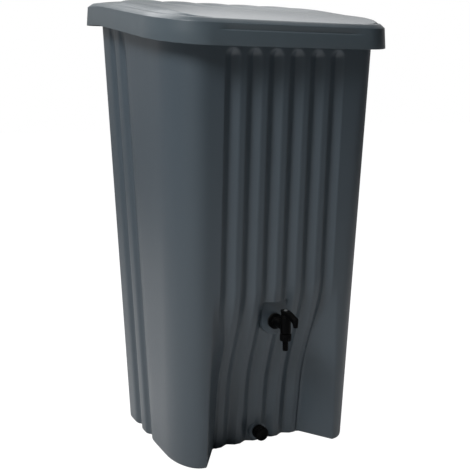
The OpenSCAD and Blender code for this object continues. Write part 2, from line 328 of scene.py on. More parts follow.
class Sheet:
    """Adds nodes to a node tree and links them, for geometry and shader trees alike."""

    def __init__(self, tree: bpy.types.NodeTree) -> None:
        """Keeps the tree."""
        self.tree = tree

    def add(self, kind: str, inputs: dict | None = None, **settings: Any) -> bpy.types.Node:
        """Adds one node.

        Args:
            kind: the node's type name.
            inputs: values or sockets, by the input's name or number.
            settings: properties of the node.

        Returns:
            The new node.
        """
        node = self.tree.nodes.new(kind)
        for key, value in settings.items():
            setattr(node, key, value)
        for key, value in (inputs or {}).items():
            self.feed(node.inputs[key], value)
        return node

    def feed(self, socket: Socket, value: Any) -> None:
        """Links a socket to another, or sets its value."""
        if isinstance(value, bpy.types.NodeSocket):
            self.tree.links.new(value, socket)
        else:
            socket.default_value = value

    def math(self, operation: str, *values: Any) -> Socket:
        """Adds a Math node and gives its result."""
        return self.add("ShaderNodeMath", dict(enumerate(values)), operation=operation).outputs[0]

    def chain(self, start: Any, *steps: tuple) -> Socket:
        """Applies Math steps of (operation, value) one after another, from a first value."""
        for operation, *values in steps:
            start = self.math(operation, start, *values)
        return start

    def ramp(self, value: Any, low: float, high: float, to_low: float = 0.0, to_high: float = 1.0) -> Socket:
        """Eases a value from one range to another and clamps it."""
        node = self.add("ShaderNodeMapRange", {0: value, 1: low, 2: high, 3: to_low, 4: to_high})
        node.interpolation_type = "SMOOTHSTEP"
        return node.outputs[0]


def new_tree(name: str, kind: str, inputs: dict, outputs: dict) -> tuple[Sheet, Any, Any]:
    """Makes a node group with named sockets.

    Args:
        name: the group's name.
        kind: ShaderNodeTree or GeometryNodeTree.
        inputs: (socket type, default or None) by name.
        outputs: socket type by name.

    Returns:
        The sheet to draw on, the group's input node and its output node.
    """
    tree = bpy.data.node_groups.new(name, kind)
    for label, (socket_type, default) in inputs.items():
        socket = tree.interface.new_socket(label, in_out="INPUT", socket_type=socket_type)
        if default is not None:
            socket.default_value = default
    for label, socket_type in outputs.items():
        tree.interface.new_socket(label, in_out="OUTPUT", socket_type=socket_type)
    sheet = Sheet(tree)
    return sheet, sheet.add("NodeGroupInput"), sheet.add("NodeGroupOutput")


FLOAT, INT, VECTOR = "NodeSocketFloat", "NodeSocketInt", "NodeSocketVector"
SHAPE, COLOUR, FINISH = "NodeSocketGeometry", "NodeSocketColor", "NodeSocketMaterial"


def apply_tree(piece: Piece, tree: bpy.types.NodeTree, values: dict) -> Piece:
    """Runs a geometry tree on a piece and keeps the result as plain mesh.

    Args:
        piece: the piece to run it on.
        tree: the geometry tree.
        values: the tree's inputs, by name.

    Returns:
        The same piece, with its new mesh.
    """
    modifier = piece.modifiers.new(tree.name, "NODES")
    modifier.node_group = tree
    names = {
        item.name: item.identifier
        for item in tree.interface.items_tree
        if item.item_type == "SOCKET" and item.in_out == "INPUT"
    }
    for label, value in values.items():
        modifier[names[label]] = value
    return settle(piece)


class GeometryTrees:
    """The geometry trees for what repeats on the barrel, each made once."""

    def __init__(self) -> None:
        """Makes every tree."""
        self.flutes = self.make_flutes()
        self.leaves = self.make_leaves()
        self.grip = self.make_grip()
        self.thread = self.make_thread()

    @staticmethod
    def make_flutes() -> bpy.types.NodeTree:
        """Presses upright flutes with round upper ends into the wall where its panel mask is 1."""
        sheet, given, result = new_tree(
            "press_flutes",
            "GeometryNodeTree",
            {
                "Geometry": (SHAPE, None),
                "Pitch": (FLOAT, 0.049),
                "Width": (FLOAT, 0.035),
                "Depth": (FLOAT, 0.008),
                "Count": (INT, 6),
                "Round Start": (FLOAT, 0.88),
                "Blunt": (FLOAT, 0.11),
            },
            {"Geometry": SHAPE},
        )
        put = given.outputs
        where = sheet.add("ShaderNodeSeparateXYZ", {0: sheet.add("GeometryNodeInputPosition").outputs[0]})
        across, height = sheet.math("ABSOLUTE", where.outputs[0]), where.outputs[2]
        panel = sheet.add("GeometryNodeInputNamedAttribute", {"Name": "panel"}).outputs[0]
        edge = sheet.add("GeometryNodeInputNamedAttribute", {"Name": "panel_edge"}).outputs[0]
        last = sheet.chain(put["Count"], ("DIVIDE", 2.0), ("SUBTRACT", 1.0))
        index = sheet.chain(across, ("DIVIDE", put["Pitch"]), ("FLOOR",), ("MINIMUM", last))
        middle = sheet.chain(index, ("ADD", 0.5), ("MULTIPLY", put["Pitch"]))
        half = sheet.math("DIVIDE", put["Width"], 2.0)
        over = sheet.chain(height, ("SUBTRACT", put["Round Start"]), ("DIVIDE", half), ("MAXIMUM", 0.0))
        left = sheet.chain(
            over, ("POWER", 2.0), ("SUBTRACT", 1.0), ("MULTIPLY", -1.0), ("MAXIMUM", 0.0), ("SQRT",)
        )
        wide = sheet.chain(left, ("MULTIPLY", half), ("MAXIMUM", 1e-5))
        low = sheet.math("SUBTRACT", middle, wide)
        high = sheet.math("MINIMUM", sheet.math("ADD", middle, wide), edge)
        span = sheet.math("SUBTRACT", high, low)
        share = sheet.chain(across, ("SUBTRACT", low), ("DIVIDE", span), ("MAXIMUM", 0.0), ("MINIMUM", 1.0))
        blunt = sheet.math("POWER", put["Blunt"], 2.0)
        top = sheet.chain(blunt, ("ADD", 1.0), ("SQRT",))
        aside = sheet.chain(share, ("MULTIPLY", 2.0), ("SUBTRACT", 1.0), ("ABSOLUTE",), ("POWER", 2.0))
        fall = sheet.chain(aside, ("ADD", blunt), ("SQRT",))
        whole = sheet.math("SUBTRACT", top, put["Blunt"])
        wave = sheet.math("DIVIDE", sheet.math("SUBTRACT", top, fall), whole)
        fill = sheet.chain(span, ("DIVIDE", put["Width"]), ("MINIMUM", 1.0))
        deep = sheet.chain(wave, ("MULTIPLY", put["Depth"]), ("MULTIPLY", left), ("MULTIPLY", fill))
        move = sheet.add("ShaderNodeCombineXYZ", {1: sheet.math("MULTIPLY", deep, panel)})
        moved = sheet.add("GeometryNodeSetPosition", {"Geometry": put["Geometry"], "Offset": move.outputs[0]})
        sheet.feed(result.inputs[0], moved.outputs[0])
        return sheet.tree

    @staticmethod
    def make_leaves() -> bpy.types.NodeTree:
        """Raises leaf-shaped ribs out of the lid's deck, gentle on the left and short on the right."""
        sheet, given, result = new_tree(
            "raise_leaves",
            "GeometryNodeTree",
            {
                "Geometry": (SHAPE, None),
                "Pitch": (FLOAT, 0.084),
                "Count": (INT, 6),
                "Radius": (FLOAT, 0.16),
                "Drop": (FLOAT, 1.1),
                "Tip": (FLOAT, -0.13),
                "Climb": (FLOAT, 0.018),
                "Softness": (FLOAT, 0.0006),
            },
            {"Geometry": SHAPE},
        )
        put = given.outputs
        where = sheet.add("ShaderNodeSeparateXYZ", {0: sheet.add("GeometryNodeInputPosition").outputs[0]})
        inside = sheet.add("GeometryNodeInputNamedAttribute", {"Name": "deck"}).outputs[0]
        across, depth = where.outputs[0], where.outputs[1]
        last = sheet.math("DIVIDE", put["Count"], 2.0)
        first = sheet.chain(last, ("MULTIPLY", -1.0), ("ADD", 1.0))
        cell = sheet.math("DIVIDE", across, put["Pitch"])
        crest = sheet.math("MULTIPLY", sheet.math("SUBTRACT", depth, put["Tip"]), put["Climb"])
        blunt = sheet.math("POWER", put["Softness"], 2.0)
        lifts = []
        for rounding in ("CEIL", "FLOOR"):
            index = sheet.chain(cell, (rounding,), ("MAXIMUM", first), ("MINIMUM", last))
            aside = sheet.math("SUBTRACT", across, sheet.math("MULTIPLY", index, put["Pitch"]))
            left = sheet.chain(
                aside,
                ("MINIMUM", 0.0),
                ("ABSOLUTE",),
                ("POWER", 2.0),
                ("DIVIDE", put["Radius"]),
                ("MULTIPLY", 0.5),
            )
            right = sheet.chain(aside, ("MAXIMUM", 0.0), ("MULTIPLY", put["Drop"]))
            stand = sheet.math("SUBTRACT", crest, sheet.math("ADD", left, right))
            bend = sheet.chain(sheet.math("ABSOLUTE", stand), ("POWER", 2.0), ("ADD", blunt), ("SQRT",))
            lifts.append(sheet.chain(stand, ("ADD", bend), ("MULTIPLY", 0.5)))
        lift = sheet.chain(sheet.math("MAXIMUM", *lifts), ("MULTIPLY", inside))
        move = sheet.add("ShaderNodeCombineXYZ", {2: lift})
        moved = sheet.add("GeometryNodeSetPosition", {"Geometry": put["Geometry"], "Offset": move.outputs[0]})
        sheet.feed(result.inputs[0], moved.outputs[0])
        return sheet.tree

    @staticmethod
    def make_grip() -> bpy.types.NodeTree:
        """Sets small round ribs in a ring on a turned part."""
        sheet, given, result = new_tree(
            "grip_ribs",
            "GeometryNodeTree",
            {
                "Geometry": (SHAPE, None),
                "Count": (INT, 20),
                "Ring Radius": (FLOAT, 0.015),
                "Rib Radius": (FLOAT, 0.0014),
                "Rib Length": (FLOAT, 0.014),
                "Place": (VECTOR, None),
                "Turn": (VECTOR, None),
                "Material": (FINISH, None),
            },
            {"Geometry": SHAPE},
        )
        put = given.outputs
        ring = sheet.add(
            "GeometryNodeMeshCircle", {"Vertices": put["Count"], "Radius": put["Ring Radius"]}
        )
        rib = sheet.add(
            "GeometryNodeMeshCylinder",
            {"Vertices": 12, "Radius": put["Rib Radius"], "Depth": put["Rib Length"]},
        )
        ends = sheet.add(
            "GeometryNodeMeshUVSphere", {"Segments": 12, "Rings": 8, "Radius": put["Rib Radius"]}
        )
        half = sheet.math("DIVIDE", put["Rib Length"], 2.0)
        tops = [
            sheet.add(
                "GeometryNodeTransform",
                {
                    "Geometry": ends.outputs[0],
                    "Translation": sheet.add(
                        "ShaderNodeCombineXYZ", {2: sheet.math("MULTIPLY", half, way)}
                    ).outputs[0],
                },
            ).outputs[0]
            for way in (1.0, -1.0)
        ]
        whole = sheet.add("GeometryNodeJoinGeometry")
        for part in (rib.outputs[0], *tops):
            sheet.tree.links.new(part, whole.inputs[0])
        laid = sheet.add(
            "GeometryNodeInstanceOnPoints", {"Points": ring.outputs[0], "Instance": whole.outputs[0]}
        )
        loose = sheet.add("GeometryNodeRealizeInstances", {0: laid.outputs[0]})
        there = sheet.add(
            "GeometryNodeTransform",
            {"Geometry": loose.outputs[0], "Translation": put["Place"], "Rotation": put["Turn"]},
        )
        smoothed = sheet.add("GeometryNodeSetShadeSmooth", {0: there.outputs[0]})
        both = sheet.add("GeometryNodeJoinGeometry")
        for part in (smoothed.outputs[0], put["Geometry"]):
            sheet.tree.links.new(part, both.inputs[0])
        real = sheet.add("GeometryNodeRealizeInstances", {0: both.outputs[0]})
        dressed = sheet.add(
            "GeometryNodeSetMaterial", {"Geometry": real.outputs[0], "Material": put["Material"]}
        )
        sheet.feed(result.inputs[0], dressed.outputs[0])
        return sheet.tree

    @staticmethod
    def make_thread() -> bpy.types.NodeTree:
        """Winds a screw thread round a turned part."""
        sheet, given, result = new_tree(
            "screw_thread",
            "GeometryNodeTree",
            {
                "Geometry": (SHAPE, None),
                "Radius": (FLOAT, 0.012),
                "Pitch": (FLOAT, 0.003),
                "Length": (FLOAT, 0.012),
                "Rise": (FLOAT, 0.0009),
                "Place": (VECTOR, None),
                "Turn": (VECTOR, None),
                "Material": (FINISH, None),
            },
            {"Geometry": SHAPE},
        )
        put = given.outputs
        winding = sheet.add(
            "GeometryNodeCurveSpiral",
            {
                "Resolution": 40,
                "Rotations": sheet.math("DIVIDE", put["Length"], put["Pitch"]),
                "Start Radius": put["Radius"],
                "End Radius": put["Radius"],
                "Height": put["Length"],
            },
        )
        profile = sheet.add("GeometryNodeCurvePrimitiveCircle", {"Resolution": 6, "Radius": put["Rise"]})
        ridge = sheet.add("GeometryNodeCurveToMesh", {0: winding.outputs[0], 1: profile.outputs[0]})
        ridge.inputs["Fill Caps"].default_value = True
        there = sheet.add(
            "GeometryNodeTransform",
            {"Geometry": ridge.outputs[0], "Translation": put["Place"], "Rotation": put["Turn"]},
        )
        smoothed = sheet.add("GeometryNodeSetShadeSmooth", {0: there.outputs[0]})
        both = sheet.add("GeometryNodeJoinGeometry")
        for part in (smoothed.outputs[0], put["Geometry"]):
            sheet.tree.links.new(part, both.inputs[0])
        real = sheet.add("GeometryNodeRealizeInstances", {0: both.outputs[0]})
        dressed = sheet.add(
            "GeometryNodeSetMaterial", {"Geometry": real.outputs[0], "Material": put["Material"]}
        )
        sheet.feed(result.inputs[0], dressed.outputs[0])
        return sheet.tree


class SurfaceEffects:
    """The shader groups that several finishes share, each made once."""

    def __init__(self) -> None:
        """Makes every group."""
        self.grain = self.make_grain()
        self.mottle = self.make_mottle()
        self.rub = self.make_rub()
        self.dust = self.make_dust()
        self.scuff = self.make_scuff()

    @staticmethod
    def make_grain() -> bpy.types.NodeTree:
        """The fine pebbled skin that a mould leaves: a height and a roughness change."""
        sheet, given, result = new_tree(
            "moulded_grain",
            "ShaderNodeTree",
            {"Vector": (VECTOR, None), "Cells": (FLOAT, 700.0), "Waviness": (FLOAT, 0.3)},
            {"Height": FLOAT, "Roughness": FLOAT},
        )
        put = given.outputs
        pebble = sheet.add(
            "ShaderNodeTexVoronoi", {"Vector": put["Vector"], "Scale": put["Cells"]}, feature="SMOOTH_F1"
        )
        fine = sheet.add(
            "ShaderNodeTexNoise", {"Vector": put["Vector"], "Scale": put["Cells"], "Detail": 3.0}
        )
        wave = sheet.add("ShaderNodeTexNoise", {"Vector": put["Vector"], "Scale": 22.0, "Detail": 2.0})
        pits = sheet.math("MULTIPLY_ADD", pebble.outputs["Distance"], -0.6, fine.outputs[0])
        sheet.feed(
            result.inputs["Height"], sheet.math("MULTIPLY_ADD", wave.outputs[0], put["Waviness"], pits)
        )
        sheet.feed(result.inputs["Roughness"], sheet.math("SUBTRACT", fine.outputs[0], 0.5))
        return sheet.tree

    @staticmethod
    def make_mottle() -> bpy.types.NodeTree:
        """Slow changes of tone across a moulding, with faint upright flow marks."""
        sheet, given, result = new_tree(
            "slow_mottle",
            "ShaderNodeTree",
            {"Vector": (VECTOR, None), "Scale": (FLOAT, 5.0), "Flow": (FLOAT, 0.4)},
            {"Tone": FLOAT},
        )
        put = given.outputs
        cloud = sheet.add(
            "ShaderNodeTexNoise", {"Vector": put["Vector"], "Scale": put["Scale"], "Detail": 4.0}
        )
        drawn = sheet.add("ShaderNodeMapping", {"Vector": put["Vector"], "Scale": (28.0, 28.0, 1.4)})
        flow = sheet.add("ShaderNodeTexNoise", {"Vector": drawn.outputs[0], "Scale": 1.0, "Detail": 3.0})
        streak = sheet.chain(flow.outputs[0], ("SUBTRACT", 0.5), ("MULTIPLY", put["Flow"]))
        sheet.feed(result.inputs["Tone"], sheet.chain(cloud.outputs[0], ("SUBTRACT", 0.5), ("ADD", streak)))
        return sheet.tree

    @staticmethod
    def make_rub() -> bpy.types.NodeTree:
        """Where handling has rubbed raised edges paler."""
        sheet, given, result = new_tree(
            "rubbed_edges",
            "ShaderNodeTree",
            {"Vector": (VECTOR, None), "Edge": (FLOAT, 0.53), "Patchiness": (FLOAT, 60.0)},
            {"Mask": FLOAT},
        )
        put = given.outputs
        point = sheet.add("ShaderNodeNewGeometry").outputs["Pointiness"]
        raised = sheet.chain(
            point, ("SUBTRACT", put["Edge"]), ("MULTIPLY", 14.0), ("MAXIMUM", 0.0), ("MINIMUM", 1.0)
        )
        patch = sheet.add(
            "ShaderNodeTexNoise", {"Vector": put["Vector"], "Scale": put["Patchiness"], "Detail": 4.0}
        )
        sheet.feed(
            result.inputs["Mask"], sheet.math("MULTIPLY", raised, sheet.ramp(patch.outputs[0], 0.35, 0.7))
        )
        return sheet.tree

    @staticmethod
    def make_dust() -> bpy.types.NodeTree:
        """Dust that lies on what faces up, and soil splashed on the foot."""
        sheet, given, result = new_tree(
            "settled_dust",
            "ShaderNodeTree",
            {"Vector": (VECTOR, None), "Scale": (FLOAT, 30.0), "Foot Height": (FLOAT, 0.12)},
            {"Mask": FLOAT, "Splash": FLOAT},
        )
        put = given.outputs
        face = sheet.add("ShaderNodeSeparateXYZ", {0: sheet.add("ShaderNodeNewGeometry").outputs["Normal"]})
        cloud = sheet.add(
            "ShaderNodeTexNoise", {"Vector": put["Vector"], "Scale": put["Scale"], "Detail": 6.0}
        )
        speck = sheet.add("ShaderNodeTexNoise", {"Vector": put["Vector"], "Scale": 420.0, "Detail": 2.0})
        level = sheet.ramp(face.outputs[2], 0.35, 1.0)
        patch = sheet.ramp(sheet.math("MULTIPLY_ADD", speck.outputs[0], 0.35, cloud.outputs[0]), 0.45, 0.95)
        sheet.feed(result.inputs["Mask"], sheet.math("MULTIPLY", level, patch))
        where = sheet.add("ShaderNodeSeparateXYZ", {0: put["Vector"]})
        near = sheet.chain(
            where.outputs[2],
            ("DIVIDE", put["Foot Height"]),
            ("MULTIPLY", -1.0),
            ("ADD", 1.0),
            ("MAXIMUM", 0.0),
        )
        drops = sheet.ramp(speck.outputs[0], 0.5, 0.68)
        sheet.feed(result.inputs["Splash"], sheet.chain(near, ("POWER", 2.0), ("MULTIPLY", drops)))
        return sheet.tree

    @staticmethod
    def make_scuff() -> bpy.types.NodeTree:
        """Thin drag marks that change only how rough the skin is."""
        sheet, given, result = new_tree(
            "drag_scuffs",
            "ShaderNodeTree",
            {"Vector": (VECTOR, None), "Length": (FLOAT, 3.0)},
            {"Mask": FLOAT},
        )
        put = given.outputs
        marks = []
        for turn in (0.5, -1.1):
            drawn = sheet.add(
                "ShaderNodeMapping",
                {
                    "Vector": put["Vector"],
                    "Rotation": (turn, turn * 0.7, turn),
                    "Scale": (160.0, 160.0, 1.0),
                },
            )
            line = sheet.add(
                "ShaderNodeTexNoise", {"Vector": drawn.outputs[0], "Scale": put["Length"], "Detail": 2.0}
            )
            marks.append(sheet.ramp(line.outputs[0], 0.66, 0.72))
        sheet.feed(result.inputs["Mask"], sheet.math("MAXIMUM", *marks))
        return sheet.tree


@dataclass(frozen=True)
class Plastic:
    """A moulded plastic: satin skin with grain, slow mottle, rubbed edges, dust and drag marks."""

    name: str
    colour: tuple[float, float, float]
    pale: tuple[float, float, float]
    roughness: float = 0.42
    cells: float = 700.0
    grain_depth: float = 0.00012
    mottle: float = 0.16
    rub: float = 0.35
    dust: float = 0.2
    splash: float = 0.3
    specular: float = 0.5

    def build(self, effects: SurfaceEffects) -> bpy.types.Material:
        """Makes the material.

        Args:
            effects: the shared shader groups.

        Returns:
            The finished material.
        """
        material = bpy.data.materials.new(self.name)
        material.use_nodes = True
        sheet = Sheet(material.node_tree)
        shader = material.node_tree.nodes["Principled BSDF"]
        where = sheet.add("ShaderNodeTexCoord").outputs["Object"]
        grain = self.group(sheet, effects.grain, {"Vector": where, "Cells": self.cells})
        mottle = self.group(sheet, effects.mottle, {"Vector": where})
        rub = self.group(sheet, effects.rub, {"Vector": where})
        dust = self.group(sheet, effects.dust, {"Vector": where})
        scuff = self.group(sheet, effects.scuff, {"Vector": where})
        tone = sheet.math("MULTIPLY_ADD", mottle.outputs["Tone"], self.mottle * 2, 1.0)
        base = sheet.add(
            "ShaderNodeVectorMath", {0: self.colour, "Scale": tone}, operation="SCALE"
        ).outputs[0]
        for mask, share, colour in (
            (rub.outputs["Mask"], self.rub, self.pale),
            (dust.outputs["Mask"], self.dust, (0.3, 0.29, 0.27)),
            (dust.outputs["Splash"], self.splash, (0.16, 0.13, 0.1)),
        ):
            base = sheet.add(
                "ShaderNodeMix",
                {0: sheet.math("MULTIPLY", mask, share), 6: base, 7: (*colour, 1.0)},
                data_type="RGBA",
            ).outputs[2]
        sheet.feed(shader.inputs["Base Color"], base)
        rough = sheet.math("MULTIPLY_ADD", grain.outputs["Roughness"], 0.12, self.roughness)
        rough = sheet.math("MULTIPLY_ADD", mottle.outputs["Tone"], 0.12, rough)
        rough = sheet.math("MULTIPLY_ADD", dust.outputs["Mask"], 0.2 * self.dust, rough)
        rough = sheet.math("MULTIPLY_ADD", scuff.outputs["Mask"], 0.05, rough)
        sheet.feed(shader.inputs["Roughness"], rough)
        bump = sheet.add(
            "ShaderNodeBump", {
                "Height": grain.outputs["Height"], "Distance": self.grain_depth, "Strength": 1.0
            }
        )
        sheet.feed(shader.inputs["Normal"], bump.outputs[0])
        shader.inputs["Specular IOR Level"].default_value = self.specular
        return material

    @staticmethod
    def group(sheet: Sheet, tree: bpy.types.NodeTree, values: dict) -> bpy.types.Node:
        """Places a shared group in a material and feeds its inputs."""
        node = sheet.add("ShaderNodeGroup", node_tree=tree)
        for label, value in values.items():
            sheet.feed(node.inputs[label], value)
        return node


@dataclass(frozen=True)
class Steel:
    """Zinc-plated steel with fine turning marks."""

    name: str
    colour: tuple[float, float, float] = (0.5, 0.51, 0.52)

    def build(self, effects: SurfaceEffects) -> bpy.types.Material:
        """Makes the material from the shared groups."""
        material = bpy.data.materials.new(self.name)
        material.use_nodes = True
        sheet = Sheet(material.node_tree)
        shader = material.node_tree.nodes["Principled BSDF"]
        where = sheet.add("ShaderNodeTexCoord").outputs["Object"]
        grain = Plastic.group(sheet, effects.grain, {"Vector": where, "Cells": 2200.0})
        mottle = Plastic.group(sheet, effects.mottle, {"Vector": where, "Scale": 300.0})
        tone = sheet.math("MULTIPLY_ADD", mottle.outputs["Tone"], 0.4, 1.0)
        base = sheet.add("ShaderNodeVectorMath", {0: self.colour, "Scale": tone}, operation="SCALE")
        sheet.feed(shader.inputs["Base Color"], base.outputs[0])
        shader.inputs["Metallic"].default_value = 1.0
        sheet.feed(
            shader.inputs["Roughness"], sheet.math("MULTIPLY_ADD", grain.outputs["Roughness"], 0.2, 0.34)
        )
        bump = sheet.add("ShaderNodeBump", {"Height": grain.outputs["Height"], "Distance": 0.00003})
        sheet.feed(shader.inputs["Normal"], bump.outputs[0])
        return material


@dataclass
class Workshop:
    """What every sub-assembly needs: the geometry trees and the finished materials by slot."""

    trees: GeometryTrees
    finishes: dict[Slot, bpy.types.Material]

    def fit(self, piece: Piece, body: Body, slot: Slot, *replaced: str) -> Piece:
        """Dresses a piece, makes it ride on a body and hides the CAD nodes that it stands for.

        Args:
            piece: the finished mesh.
            body: the body that it moves with.
            slot: its material slot.
            replaced: the CAD nodes that it stands for.

        Returns:
            The same piece.
        """
        piece.data.materials.clear()
        piece.data.materials.append(self.finishes[slot])
        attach(piece, body.value)
        if replaced:
            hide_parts(*replaced)
        LOG.info("%s: %d faces on %s", piece.name, len(piece.data.polygons), body.value)
        return piece

    def dress(self, node: str, slot: Slot) -> None:
        """Gives a CAD node that stays in view its finish."""
        piece = frame["nodes"][node]
        piece.data.materials.clear()
        piece.data.materials.append(self.finishes[slot])
        LOG.info("%s keeps its own mesh", node)


# ---- the lid's surface, which the rim follows too ----


@dataclass(frozen=True)
class Slope:
    """The sloping surface that the lid's deck and the tank's rim both follow."""

    front: float = -0.260
    climb: float = 0.15
    bend_start: float = 0.130
    bend_drop: float = 0.54

    def rise(self, y: np.ndarray | float) -> np.ndarray | float:
        """Gives the height gained between the lid's front edge and y."""
        past = np.maximum(0.0, np.asarray(y) - self.bend_start)
        return self.climb * (np.asarray(y) - self.front) - self.bend_drop * past * past


SLOPE = Slope()


@dataclass
class Tank:
    """The tapered tank: fluted front over a niche, side flutes, rim lip, tap pad and drain boss."""

    shop: Workshop
    foot_width: float = 0.442
    foot_depth: float = 0.360
    top_width: float = 0.496
    top_depth: float = 0.466
    top_height: float = 0.945
    corner_run: float = 0.100
    flat_foot: float = 0.165
    flat_top: float = 0.176
    back_radius: float = 0.020
    wall: float = 0.004
    floor: float = 0.005
    lip_width: float = 0.018
    flute_count: int = 6
    flute_pitch: float = 0.049
    flute_width: float = 0.035
    flute_depth: float = 0.0092
    flute_top: float = 0.900
    side_width: float = 0.036
    side_depth: float = 0.009
    side_at: tuple[float, float] = (0.133, 0.065)
    niche_height: float = 0.395
    niche_depth: float = 0.076
    niche_mouth: float = 0.326
    niche_back: float = 0.228
    rim: float = 0.9454
    foot_round: float = 0.005
    pad_radius: float = 0.031
    pad_up: float = 0.045
    outer_rings: int = 0

    def half_width(self, z: np.ndarray) -> np.ndarray:
        """Half the outside width at a height."""
        return self.foot_width / 2 + (self.top_width - self.foot_width) / 2 * z / self.top_height

    def half_depth(self, z: np.ndarray) -> np.ndarray:
        """Half the outside depth at a height."""
        return self.foot_depth / 2 + (self.top_depth - self.foot_depth) / 2 * z / self.top_height

    def niche(self, z: np.ndarray) -> np.ndarray:
        """How far the front panel lies back at a height."""
        s = z / self.niche_height
        return np.where(s >= 1, 0.0, self.niche_depth * (1 - 0.42 * s - 0.58 * smooth((s - 0.35) / 0.65)))

    def panel_y(self, z: np.ndarray) -> np.ndarray:
        """The front panel's place at a height, flutes left out."""
        return self.niche(z) - self.half_depth(z)

    def panel_edge(self, z: np.ndarray) -> np.ndarray:
        """Half the width of the niche's back wall at a height."""
        return self.niche_back / 2 + 0.028 * (1 - smooth(self.niche(z) / 0.035))

    def plan(self) -> list[tuple[str, float]]:
        """Lists the points of half an outline as (stretch, share), from the front to the back."""
        land = (self.flute_pitch - self.flute_width) / 2
        points = [("panel", x) for x in np.linspace(0, land, 3)[:-1]]
        for k in range(self.flute_count // 2 - 1):
            low = k * self.flute_pitch + land
            points += [("panel", x) for x in np.linspace(low, low + self.flute_width, 19)[:-1]]
            points += [
                ("panel", x) for x in np.linspace(low + self.flute_width, low + self.flute_pitch, 5)[:-1]
            ]
        points += [("last_flute", u) for u in np.linspace(0, 1, 19)]
        points += [("slant", u) for u in np.linspace(0, 1, 16)[1:-1]]
        points += [("front", u) for u in np.linspace(0, 1, 5)[:-1]]
        points += [("corner", u) for u in np.linspace(0, 1, 25)]
        points += [("side_0", u) for u in np.linspace(0, 1, 6)[1:-1]]
        for k in (0, 1):
            edge = [0, 0.06, 0.125, 0.19, 0.25, 0.33]
            points += [(f"flute_{k}", u) for u in (*edge, 0.5, *(1 - u for u in edge[::-1]))]
            points += [(f"side_{k + 1}", u) for u in np.linspace(0, 1, 6)[1:-1]]
        points += [("back_corner", u) for u in np.linspace(0, 1, 8)]
        points += [("back", u) for u in np.linspace(0, 1, 13)[1:]]
        return points

    def half_outline(self, z: np.ndarray, inset: float, side_depth: float) -> np.ndarray:
        """Gives half an outline, each point at its own height.

        Args:
            z: one height for each point of the plan.
            inset: how far the outline is moved inwards.
            side_depth: the depth of the side flutes.

        Returns:
            An array of x and y for each point.
        """
        grow, out = max(0.0, inset), np.zeros((len(z), 2))
        width, depth, front = self.half_width(z), self.half_depth(z), -self.half_depth(z)
        flat = self.flat_foot + (self.flat_top - self.flat_foot) * z / self.top_height
        mouth = self.niche_mouth / 2 - 0.008 * np.clip(z / self.niche_height, 0, 1)
        low = (self.flute_count / 2 - 0.5) * self.flute_pitch - self.flute_width / 2
        edge = np.minimum(low + self.flute_width, self.panel_edge(z) + inset)
        bend = self.back_radius - min(inset, self.back_radius / 2)
        side_x = width - inset
        for i, (stretch, u) in enumerate(self.plan()):
            if stretch == "panel":
                out[i] = u, self.panel_y(z[i]) + inset
            elif stretch == "last_flute":
                out[i] = low + (edge[i] - low) * u, self.panel_y(z[i]) + inset
            elif stretch == "slant":
                start = np.array([edge[i], self.panel_y(z[i]) + inset])
                out[i] = start + (np.array([mouth[i] + grow / 2, front[i] + inset]) - start) * u
            elif stretch == "front":
                out[i] = mouth[i] + grow / 2 + (flat[i] - mouth[i] - grow / 2) * u, front[i] + inset
            elif stretch == "corner":
                turn = math.pi / 2 * u
                run = width[i] - flat[i] - inset, self.corner_run - inset
                out[i] = (
                    flat[i] + run[0] * math.sin(turn),
                    front[i] + self.corner_run - run[1] * math.cos(turn),
                )
            elif stretch == "back_corner":
                turn = math.pi / 2 * u
                out[i] = (
                    side_x[i] - bend + bend * math.cos(turn),
                    depth[i] - inset - bend + bend * math.sin(turn),
                )
            elif stretch == "back":
                out[i] = (side_x[i] - bend) * (1 - u), depth[i] - inset
            elif stretch.startswith("side"):
                starts = front[i] + self.corner_run, depth[i] - self.side_at[0], depth[i] - self.side_at[1]
                ends = (
                    depth[i] - self.side_at[0] - self.side_width,
                    depth[i] - self.side_at[1] - self.side_width,
                    depth[i] - inset - bend,
                )
                k = int(stretch[-1])
                out[i] = side_x[i], starts[k] + (ends[k] - starts[k]) * u
            else:
                y = depth[i] - self.side_at[int(stretch[-1])] - self.side_width * (1 - u)
                fall = min(1.0, min(u, 1 - u) * self.side_width / self.side_depth)
                out[i] = side_x[i] - side_depth * fall, y
        return out

    def ring(self, z: np.ndarray, inset: float, side_depth: float) -> np.ndarray:
        """Mirrors half an outline into a whole ring and softens its corners.

        Args:
            z: one height for each point of the plan.
            inset: how far the ring is moved inwards.
            side_depth: the depth of the side flutes.

        Returns:
            An array of x, y and z for each point of the ring.
        """
        half = np.column_stack([self.half_outline(z, inset, side_depth), z])
        whole = np.vstack([half, (half * (-1, 1, 1))[-2:0:-1]])
        kinds = [stretch for stretch, _ in self.plan()]
        held = np.array([k == "panel" for k in kinds] + [k == "panel" for k in kinds[-2:0:-1]])
        for _ in range(2):
            soft = (np.roll(whole, 1, 0) + 2 * whole + np.roll(whole, -1, 0)) / 4
            whole = np.where(held[:, None], whole, soft)
        return whole

    def rim_heights(self, inset: float, drop: float) -> np.ndarray:
        """Gives each point of the plan the height of the sloping rim, less drop."""
        level = np.full(len(self.plan()), self.rim)
        return self.rim - drop + SLOPE.rise(self.half_outline(level, inset, 0.0)[:, 1])

    def rings(self) -> list[np.ndarray]:
        """Lists the skin's rings: up the outside, over the lip and down the inside."""
        count = len(self.plan())

        def level(z: float, inset: float = 0.0) -> np.ndarray:
            """One level ring."""
            return self.ring(np.full(count, z), inset, self.side_depth)

